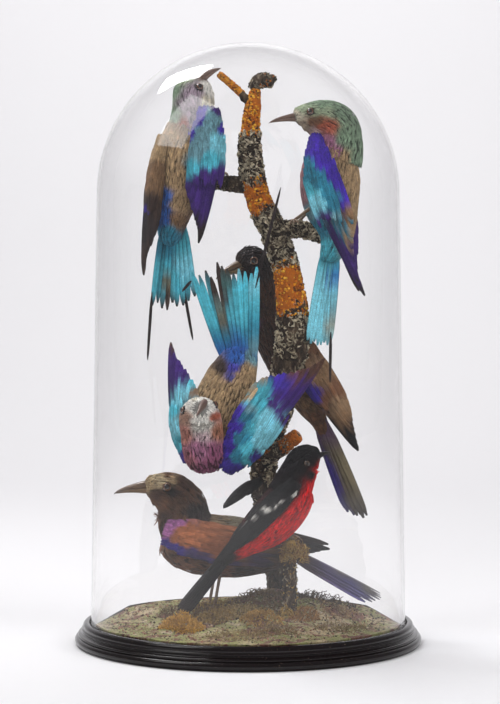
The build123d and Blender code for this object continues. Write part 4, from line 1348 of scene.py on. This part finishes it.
def flake():
    """A curled lichen flake, cupped, with a lobed edge."""
    bm = bmesh.new()
    bmesh.ops.create_uvsphere(bm, u_segments=8, v_segments=4, radius=0.5)
    for i, v in enumerate(bm.verts):
        r = math.hypot(v.co.x, v.co.y)
        v.co.x *= 1 + 0.35 * math.sin(i * 2.4)
        v.co.y *= 1 + 0.35 * math.cos(i * 1.7)
        v.co.z = v.co.z * 0.14 + r * r * 1.1 + 0.12 * math.sin(i * 5.1)
    return bm


def granule():
    """A grain of crust or grit."""
    bm = bmesh.new()
    bmesh.ops.create_icosphere(bm, subdivisions=1, radius=0.5)
    return bm


def strand():
    """A short curl of moss."""
    bm = bmesh.new()
    bmesh.ops.create_uvsphere(bm, u_segments=4, v_segments=6, radius=0.5)
    for v in bm.verts:
        z = v.co.z
        v.co.x = v.co.x * 0.14 + 0.25 * math.sin(z * 5)
        v.co.y = v.co.y * 0.14 + 0.20 * math.cos(z * 4)
    return bm


def scatter(bm, template, place, normal, size, rng, colour, tilt=0.5):
    """Sets one flake, granule or curl down on a surface, turned at random."""
    start = len(bm.verts)
    bm.from_mesh(template)
    bm.verts.ensure_lookup_table()
    layer = bm.verts.layers.float_color["tint"]
    lean = (Vector(normal) + Vector((rng.uniform(-1, 1), rng.uniform(-1, 1),
        rng.uniform(-1, 1))) * tilt).normalized()
    turn = Vector((0, 0, 1)).rotation_difference(lean).to_matrix() @ Matrix.Rotation(rng.uniform(0,
        math.tau), 3, "Z")
    shade = jitter(rng, colour, 0.25)
    for v in bm.verts[start:]:
        v.co = Vector(place) + turn @ (v.co * size)
        v[layer] = (*shade, 1)


def cover(bm, skin, template, rng, count, t_range, size, colours, sink=0.2):
    """Scatters flakes over part of a limb."""
    for i in range(count):
        t = rng.uniform(*t_range)
        angle = math.radians(rng.uniform(-180, 180))
        place, _, normal = skin.frame(t, angle)
        k = rng.uniform(*size)
        scatter(bm, template, place - normal * k * sink, normal, k, rng, rng.choice(colours), LICHEN_TILT)


GROUND_RADIUS = 165.0
GROUND_TOP = 26.0
GROUND_FOOT = 21.2
RIM_FROM = 135.0
RIM_FALL = 1.6
MOUNDS = [
    (34, 78, 64, 24), (20, -5, 90, 7), (-80, 50, 60, 7), (92, 30, 52, 9), (-72, -70, 30, 8),
    (14, -44, 26, 6),
    (62, 16, 34, 13), (0, 40, 46, 9),
]


def ground_height(x, y):
    """Height of the modelled ground at a point."""
    r = math.hypot(x, y)
    height = GROUND_TOP
    for mx, my, radius, rise in MOUNDS:
        away = ((x - mx) ** 2 + (y - my) ** 2) / radius**2
        height += rise * math.exp(-away * 2.2) * 0.8
    height += 1.6 * noise.fractal(Vector((x, y, 3)) * 0.05, 0.8, 2.0, 4)
    height += 1.1 * noise.fractal(Vector((x, y, 9)) * 0.16, 0.8, 2.0, 3)
    rim = max(0.0, (r - RIM_FROM) / (GROUND_RADIUS - RIM_FROM))
    return height - RIM_FALL * rim**2


def make_ground():
    """The modelled ground: a turned disc whose top is raised into mounds."""
    bm = new_mesh()
    profile = [(GROUND_RADIUS * i / 60, 30.0) for i in range(61)]
    profile += [(GROUND_RADIUS, 24.0), (GROUND_RADIUS - 0.5, GROUND_FOOT), (0, GROUND_FOOT)]
    lathe(bm, profile, 200)
    layer = bm.verts.layers.float_color["tint"]
    for v in bm.verts:
        shade = (1.0, 1.0, 1.0)
        if v.co.z > 29:
            x, y = v.co.x, v.co.y
            v.co.z = ground_height(x, y)
            # painted shadow: the ground turns grey round the trunk's foot, behind the post and under the
            # lower roller, a rock's grey with the shade over it painted in
            rock_and_painted_shadow = math.exp(-(((x - 40) ** 2 + (y - 52) ** 2) / 52**2) * 1.6)
            shade = mix((1.0, 1.0, 1.0), (0.30, 0.27, 0.27), min(1.0, rock_and_painted_shadow * 1.1))
        v[layer] = (*shade, 1)
    finish_piece("modelled_ground", bm, "ground", ["groundwork"])


def make_moss():
    """Moss tufts and grit on the ground, and the moss round the post's top."""
    rng = random.Random(41)
    curl = as_template(strand(), "moss_curl")
    grain = as_template(granule(), "moss_grain")
    bm = new_mesh()
    tufts = [
        (-70, -72, 24, 10, 520, (0.50, 0.27, 0.045)), (-34, -18, 24, 9, 300, (0.30, 0.19, 0.06)),
        (14, -44, 24, 8, 260, (0.38, 0.22, 0.06)),
        (-40, 30, 30, 10, 240, STRAW), (60, -20, 18, 8, 200, (0.32, 0.17, 0.06)),
        (46, -14, 13, 12, 160, STRAW),
        (-60, 10, 40, 9, 360, (0.16, 0.10, 0.05)), (84, 40, 40, 12, 320, (0.09, 0.065, 0.05)),
        (10, 20, 44, 12, 420, (0.17, 0.11, 0.055)),
        (30, -84, 26, 4, 160, (0.24, 0.15, 0.07)), (-10, -120, 34, 4, 160, (0.30, 0.22, 0.10)),
        (100, -60, 30, 4, 140, (0.22, 0.16, 0.07)),
        (-8, -8, 26, 9, 260, (0.34, 0.24, 0.10)), (96, 6, 26, 5, 120, (0.3, 0.2, 0.1)),
    ]
    for x, y, radius, rise, count, colour in tufts:
        for i in range(count):
            a, r = rng.uniform(0, math.tau), radius * math.sqrt(rng.random())
            px, py = x + r * math.cos(a), y + r * math.sin(a)
            if math.hypot(px, py) > 160:
                continue
            pz = ground_height(px, py) + rise * (1 - (r / radius) ** 2) * rng.random()
            scatter(bm, curl, (px, py, pz), (0, 0, 1), rng.uniform(5, 9), rng, jitter(rng, colour, 0.3),
                MOSS_TILT)
    for i in range(2600):
        a, r = rng.uniform(0, math.tau), 158 * math.sqrt(rng.random())
        px, py = r * math.cos(a), r * math.sin(a)
        colour = rng.choice([(0.24, 0.16, 0.08), (0.40, 0.33, 0.22), (0.07, 0.05, 0.03), (0.30, 0.14, 0.10),
            (0.05, 0.035, 0.02)])
        scatter(bm, grain, (px, py, ground_height(px, py)), (0, 0, 1), rng.uniform(1.0, 2.8), rng, colour)
    finish_piece("ground_moss", bm, "crust", ["moss_tufts"])
    bm = new_mesh()
    for i in range(900):
        a, r = rng.uniform(0, math.tau), 16 * math.sqrt(rng.random())
        place = (50 + r * math.cos(a), -12 + r * 0.8 * math.sin(a), 112 - r * 0.9 + rng.uniform(-10, 6))
        scatter(bm, curl, place, (0, 0, 1), rng.uniform(3, 6.5), rng,
                rng.choice([STRAW, (0.30, 0.15, 0.04), (0.52, 0.34, 0.10), (0.12, 0.07, 0.03)]), MOSS_TILT)
    finish_piece("post_top_moss", bm, "crust", ["post_moss"])


def make_trunk():
    """The trunk, its limbs, the post and the lichens on them."""
    bm = new_mesh()
    crust = [(0.53, 0.61, ORANGE_DEEP), (0.712, 0.762, ORANGE_DEEP), (0.845, 0.965, ORANGE_DEEP),
        (0.32, 0.34, ORANGE_DEEP)]
    skins = {"trunk": barked(bm, TRUNK, 300, 44, 1.7, 3.0, crust)}
    finish_piece("lichened_trunk", bm, "bark", ["trunk"])
    crusts = {"top_twig": [(0.35, 1.0, ORANGE)], "lower_stub": [(0.55, 1.0, ORANGE_DEEP)]}
    for name, points in LIMBS.items():
        bm = new_mesh()
        skins[name] = barked(bm, points, 60, 24, 1.2, 7.0, crusts.get(name, ()))
        finish_piece(f"{name}_bark", bm, "bark", [name])
    bm = new_mesh()
    skins["post"] = barked(bm, POST, 90, 24, 0.8, 11.0, [(0.7, 1.0, STRAW)])
    finish_piece("post_bark", bm, "bark", ["post"])

    rng = random.Random(17)
    leaf = as_template(flake(), "lichen_flake")
    grain = as_template(granule(), "lichen_grain")
    pale = [LICHEN_PALE, (0.66, 0.57, 0.42), LICHEN_GREY, LICHEN_DARK, LICHEN_DARK, LICHEN_PALE]
    bm = new_mesh()
    for name, count, t_range, size, colours in (
        ("trunk", 1300, (0.16, 0.53), (4, 10), pale), ("trunk", 560, (0.605, 0.715), (4.5, 11), pale),
        ("trunk", 560, (0.755, 0.85), (4.5, 11), pale),
        ("trunk", 90, (0.5, 0.99), (2.5, 5), [LICHEN_DARK, LICHEN_GREY]),
        ("perch_right", 520, (0.03, 0.97), (4, 10), [LICHEN_PALE, LICHEN_PALE, LICHEN_GREY, LICHEN_DARK]),
        ("perch_left", 160, (0.05, 0.95), (3, 6), [LICHEN_DARK, LICHEN_DARK, LICHEN_GREY]),
        ("lower_stub", 200, (0.05, 0.7), (3, 6.5), pale),
        ("top_knob", 200, (0.05, 0.97), (2.5, 6), [LICHEN_DARK, LICHEN_GREY, LICHEN_PALE]),
        ("post", 160, (0.05, 0.9), (2.5, 5), [STRAW, LICHEN_PALE, LICHEN_DARK]),
    ):
        cover(bm, skins[name], leaf, rng, count, t_range, size, colours)
    finish_piece("grey_lichen_flakes", bm, "crust", ["grey_lichen"])
    bm = new_mesh()
    bright = [ORANGE, ORANGE, AMBER, ORANGE_DEEP, ORANGE_DEEP, (0.16, 0.05, 0.01)]
    for name, count, t_range, size, colours in (
        ("trunk", 820, (0.525, 0.62), (1.4, 4.2), bright),
        ("trunk", 560, (0.705, 0.77), (1.4, 4.2), bright),
        ("trunk", 1000, (0.84, 0.97), (1.4, 4.0), bright),
        ("trunk", 160, (0.31, 0.36), (1.2, 3), [ORANGE_DEEP, BROWN_DARK]),
        ("top_twig", 420, (0.3, 0.98), (1.2, 3.2), bright),
        ("top_knob", 60, (0.3, 0.9), (1.2, 2.4), [ORANGE_DEEP]),
        ("lower_stub", 320, (0.5, 0.98), (1.2, 3.2), [ORANGE_DEEP, hue(150, 92, 40)]),
    ):
        cover(bm, skins[name], grain, rng, count, t_range, size, colours, sink=0.05)
    finish_piece("orange_lichen_crust", bm, "crust", ["orange_lichen"])


def make_plinth(sizes):
    """The turned plinth, and finishes for the felts and fixings under it."""
    r = sizes.plinth_radius * 1000
    bm = new_mesh()
    profile = [(0, 1.2), (r - 11, 1.2), (r - 11, 0.0), (r - 2.5, 0.0), (r - 1.2, 1.0)]
    profile += arc((r - 4.2, 5.0), 4.2, -60, 66, 12)
    profile += [(r - 4.0, 9.3)]
    profile += arc((r - 4.9, 10.9), 1.5, -70, 70, 8)
    profile += [(r - 5.6, 12.7), (r - 7.2, 13.2), (r - 7.9, 14.2)]
    profile += arc((r - 8.3, 16.0), 1.2, -60, 60, 6)
    profile += [(r - 8.9, 17.8)]
    profile += arc((r - 13.6, 19.2), 4.8, -8, 88, 12)
    profile += [(r - 15.2, 24.0), (r - 16.0, 23.2), (r - 16.0, 14.0), (167.0, 14.0), (167.0, 20.2),
        (166.2, 21.0), (0, 21.0)]
    lathe(bm, profile, 288)
    finish_piece("turned_plinth", bm, "wood", ["plinth"])
    for node, finish in (
        ("baize_disc", "green_felt"), ("seat_felt", "dark_felt"), ("fixing_screws", "brass"),
        ("mounting_wires", "wire"),
    ):
        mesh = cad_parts[node].data
        mesh.materials.clear()
        mesh.materials.append(material(finish))


def make_dome():
    """The blown glass: foot rolled round, sides leaning in, and a round crown."""
    bm = new_mesh()
    foot, shoulder, top, wall, base = 172.5, 166.0, 656.0, 4.0, 15.5
    lean, steps = foot - shoulder, 12
    middle = top - shoulder
    sides = [(lean * (i / steps), base + 2 + (middle - base - 2) * i / steps) for i in range(steps)]
    profile = [(foot - wall, base + 2.0)]
    profile += arc((foot - wall / 2, base + wall / 2), wall / 2, 180, 360, 10)
    profile += [(foot - inward, height) for inward, height in sides[1:]]
    profile += arc((0, middle), shoulder, 0, 90, 48)
    profile += arc((0, middle), shoulder - wall, 90, 0, 48)
    profile += [(foot - wall - inward, height) for inward, height in reversed(sides)]
    lathe(bm, profile, 224)
    finish_piece("blown_glass_dome", bm, "glass", ["glass_dome"], DOME)


# ---------------------------------------------------------------- stage
def add_lamp(name, place, aim, size, watts):
    """A rectangular softbox turned towards a point."""
    lamp = bpy.data.lights.new(name, "AREA")
    lamp.shape = "RECTANGLE"
    lamp.size, lamp.size_y = size
    lamp.energy = watts
    item = bpy.data.objects.new(name, lamp)
    item.location = place
    item.rotation_euler = (Vector(aim) - Vector(place)).to_track_quat("-Z", "Y").to_euler()
    bpy.context.scene.collection.objects.link(item)
    return item


def make_stage(stage):
    """Pale paper sweep, soft lamps and the camera."""
    half_width, front, back, bend, rise = 6000, -4000, 2000, 1600, 3500
    bm = new_mesh()
    bmesh.ops.create_grid(bm, x_segments=8, y_segments=60, size=1.0)
    for v in bm.verts:
        s = (v.co.y + 1) / 2
        v.co.x *= half_width
        if s < 0.5:
            v.co.y, v.co.z = front + 2 * (back - front) * s, 0.0
        else:
            a = (s - 0.5) * 2
            angle = min(1.0, a / 0.6) * math.pi / 2
            v.co.y = back + bend * math.sin(angle)
            v.co.z = bend * (1 - math.cos(angle)) + max(0.0, a - 0.6) / 0.4 * rise
    bmesh.ops.recalc_face_normals(bm, faces=bm.faces)
    bmesh.ops.translate(bm, verts=bm.verts, vec=(0, 0, -0.1))
    bmesh.ops.scale(bm, vec=(MM, MM, MM), verts=bm.verts)
    mesh = bpy.data.meshes.new("paper_sweep")
    bm.to_mesh(mesh)
    bm.free()
    mesh.materials.append(material("floor"))
    mesh.polygons.foreach_set("use_smooth", [True] * len(mesh.polygons))
    sweep = bpy.data.objects.new("paper_sweep", mesh)
    bpy.context.scene.collection.objects.link(sweep)

    aim = (0, 0, 0.33)
    add_lamp("softbox_left", (-1.55, -0.70, 2.2), aim, (1.0, 1.5), stage.key_watts)
    add_lamp("softbox_corner", (-0.70, 0.66, 1.85), (0, 0, 0.5), (0.34, 0.62), stage.top_watts)
    unseen = [
        add_lamp("softbox_right", (1.9, -1.1, 1.3), aim, (1.4, 1.6), stage.fill_watts),
        add_lamp("softbox_front", (-0.3, -2.8, 1.7), aim, (2.0, 1.2), stage.fill_watts),
        add_lamp("paper_lamp", (0, 2.1, 2.9), (0, 3.2, 1.3), (4.0, 0.8), stage.paper_watts),
    ]
    for lamp in unseen:
        lamp.visible_glossy = False
        lamp.visible_transmission = False

    world = bpy.data.worlds.new("studio_air")
    world.use_nodes = True
    air = world.node_tree.nodes["Background"]
    air.inputs["Color"].default_value = (0.95, 0.94, 0.97, 1)
    air.inputs["Strength"].default_value = stage.air
    bpy.context.scene.world = world

    camera = bpy.data.cameras.new("camera")
    camera.sensor_fit = "VERTICAL"
    camera.sensor_height = 36.0
    camera.lens = stage.lens
    item = bpy.data.objects.new("camera", camera)
    item.location = (stage.camera_side, -stage.camera_distance, stage.camera_height)
    item.rotation_euler = (math.pi / 2 - stage.camera_tilt, 0, 0)
    bpy.context.scene.collection.objects.link(item)
    bpy.context.scene.camera = item
    bpy.context.scene.view_settings.view_transform = "Standard"


# ---------------------------------------------------------------- add-on
class BellJarSizes(bpy.types.PropertyGroup):
    plinth_radius: bpy.props.FloatProperty(
        name="Plinth radius", description="Radius of the turned plinth", default=0.190, min=0.1,
        unit="LENGTH"
    )
    feather_density: bpy.props.FloatProperty(
        name="Feather density", description="How closely the small feathers are laid", default=1.0, min=0.3,
        max=2.0, subtype="FACTOR"
    )


class BellJarColours(bpy.types.PropertyGroup):
    wood: bpy.props.FloatVectorProperty(
        name="Ebonised wood", description="Colour of the plinth", default=(0.0035, 0.0020, 0.0022),
        subtype="COLOR"
    )
    paper: bpy.props.FloatVectorProperty(
        name="Studio paper", description="Colour of the floor and backdrop", default=(0.84, 0.83, 0.845),
        subtype="COLOR"
    )


class BellJarStage(bpy.types.PropertyGroup):
    key_watts: bpy.props.FloatProperty(
        name="Key lamp", description="Power of the left softbox", default=15.0, subtype="POWER"
    )
    fill_watts: bpy.props.FloatProperty(
        name="Fill lamps", description="Power of the right and front softboxes", default=27.0,
        subtype="POWER"
    )
    top_watts: bpy.props.FloatProperty(
        name="Top lamp", description="Power of the softbox at the upper left", default=16.0, subtype="POWER"
    )
    paper_watts: bpy.props.FloatProperty(
        name="Paper lamp", description="Power of the lamp over the backdrop", default=50.0, subtype="POWER"
    )
    air: bpy.props.FloatProperty(
        name="Room light", description="Strength of the light from all round", default=0.26, min=0.0,
        max=1.0, subtype="FACTOR"
    )
    lens: bpy.props.FloatProperty(
        name="Lens", description="Focal length in millimetres", default=93.0, unit="CAMERA"
    )
    camera_distance: bpy.props.FloatProperty(
        name="Camera distance", description="In front of the dome", default=2.0, unit="LENGTH"
    )
    camera_height: bpy.props.FloatProperty(
        name="Camera height", description="Above the table", default=0.34, unit="LENGTH"
    )
    camera_side: bpy.props.FloatProperty(
        name="Camera side", description="To the right of the dome's axis", default=0.002, unit="LENGTH"
    )
    camera_tilt: bpy.props.FloatProperty(
        name="Camera tilt", description="Angle below level", default=math.radians(0.63), subtype="ANGLE"
    )


class BELLJAR_OT_stage(bpy.types.Operator):
    """Set up the pale floor, the soft lamps and the camera"""

    bl_idname = "belljar.stage"
    bl_label = "Stage"

    def execute(self, context):
        make_stage(context.scene.bell_jar_stage)
        return {"FINISHED"}


class BELLJAR_OT_plinth(bpy.types.Operator):
    """Turn the plinth and finish its felts and fixings"""

    bl_idname = "belljar.plinth"
    bl_label = "Turned plinth"

    def execute(self, context):
        make_plinth(context.scene.bell_jar_sizes)
        return {"FINISHED"}


class BELLJAR_OT_ground(bpy.types.Operator):
    """Model the painted ground and its moss"""

    bl_idname = "belljar.ground"
    bl_label = "Ground and moss"

    def execute(self, context):
        make_ground()
        make_moss()
        return {"FINISHED"}


class BELLJAR_OT_trunk(bpy.types.Operator):
    """Grow the trunk, its limbs, the post and their lichens"""

    bl_idname = "belljar.trunk"
    bl_label = "Trunk and lichen"

    def execute(self, context):
        make_trunk()
        return {"FINISHED"}


class BELLJAR_OT_lilac_rollers(bpy.types.Operator):
    """Mount the three lilac-breasted rollers"""

    bl_idname = "belljar.lilac_rollers"
    bl_label = "Lilac-breasted rollers"

    def execute(self, context):
        for name in ("left_roller", "right_roller", "diving_roller"):
            make_bird(name, context.scene.bell_jar_sizes.feather_density)
        return {"FINISHED"}


class BELLJAR_OT_rufous_rollers(bpy.types.Operator):
    """Mount the two rufous-crowned rollers"""

    bl_idname = "belljar.rufous_rollers"
    bl_label = "Rufous-crowned rollers"

    def execute(self, context):
        for name in ("rear_roller", "lower_roller"):
            make_bird(name, context.scene.bell_jar_sizes.feather_density)
        return {"FINISHED"}


class BELLJAR_OT_shrike(bpy.types.Operator):
    """Mount the crimson-breasted shrike"""

    bl_idname = "belljar.shrike"
    bl_label = "Crimson-breasted shrike"

    def execute(self, context):
        make_bird("shrike", context.scene.bell_jar_sizes.feather_density)
        return {"FINISHED"}


class BELLJAR_OT_dome(bpy.types.Operator):
    """Blow the glass dome"""

    bl_idname = "belljar.dome"
    bl_label = "Glass dome"

    def execute(self, context):
        make_dome()
        return {"FINISHED"}


OPERATORS = (
    BELLJAR_OT_stage,
    BELLJAR_OT_plinth,
    BELLJAR_OT_ground,
    BELLJAR_OT_trunk,
    BELLJAR_OT_lilac_rollers,
    BELLJAR_OT_rufous_rollers,
    BELLJAR_OT_shrike,
    BELLJAR_OT_dome,
)


class BELLJAR_PT_panel(bpy.types.Panel):
    """Sizes, colours and the pieces in order"""

    bl_idname = "BELLJAR_PT_panel"
    bl_label = "Bell Jar Dome"
    bl_space_type = "VIEW_3D"
    bl_region_type = "UI"
    bl_category = "Bell Jar"

    def draw(self, context):
        for group in ("bell_jar_sizes", "bell_jar_colours", "bell_jar_stage"):
            values = getattr(context.scene, group)
            for key in values.__annotations__:
                self.layout.prop(values, key)
        for made in OPERATORS:
            self.layout.operator(made.bl_idname)


GROUPS = {"bell_jar_sizes": BellJarSizes, "bell_jar_colours": BellJarColours,
    "bell_jar_stage": BellJarStage}


def register():
    """Adds the groups, operators and panel."""
    for key, group in GROUPS.items():
        bpy.utils.register_class(group)
        setattr(bpy.types.Scene, key, bpy.props.PointerProperty(type=group))
    for made in OPERATORS:
        bpy.utils.register_class(made)
    bpy.utils.register_class(BELLJAR_PT_panel)


def unregister():
    """Takes them all away again."""
    bpy.utils.unregister_class(BELLJAR_PT_panel)
    for made in reversed(OPERATORS):
        bpy.utils.unregister_class(made)
    for key, group in GROUPS.items():
        delattr(bpy.types.Scene, key)
        bpy.utils.unregister_class(group)


def main():
    """Makes every piece in order."""
    register()
    for made in OPERATORS:
        space, name = made.bl_idname.split(".")
        getattr(getattr(bpy.ops, space), name)()


if __name__ == "__main__":
    main()
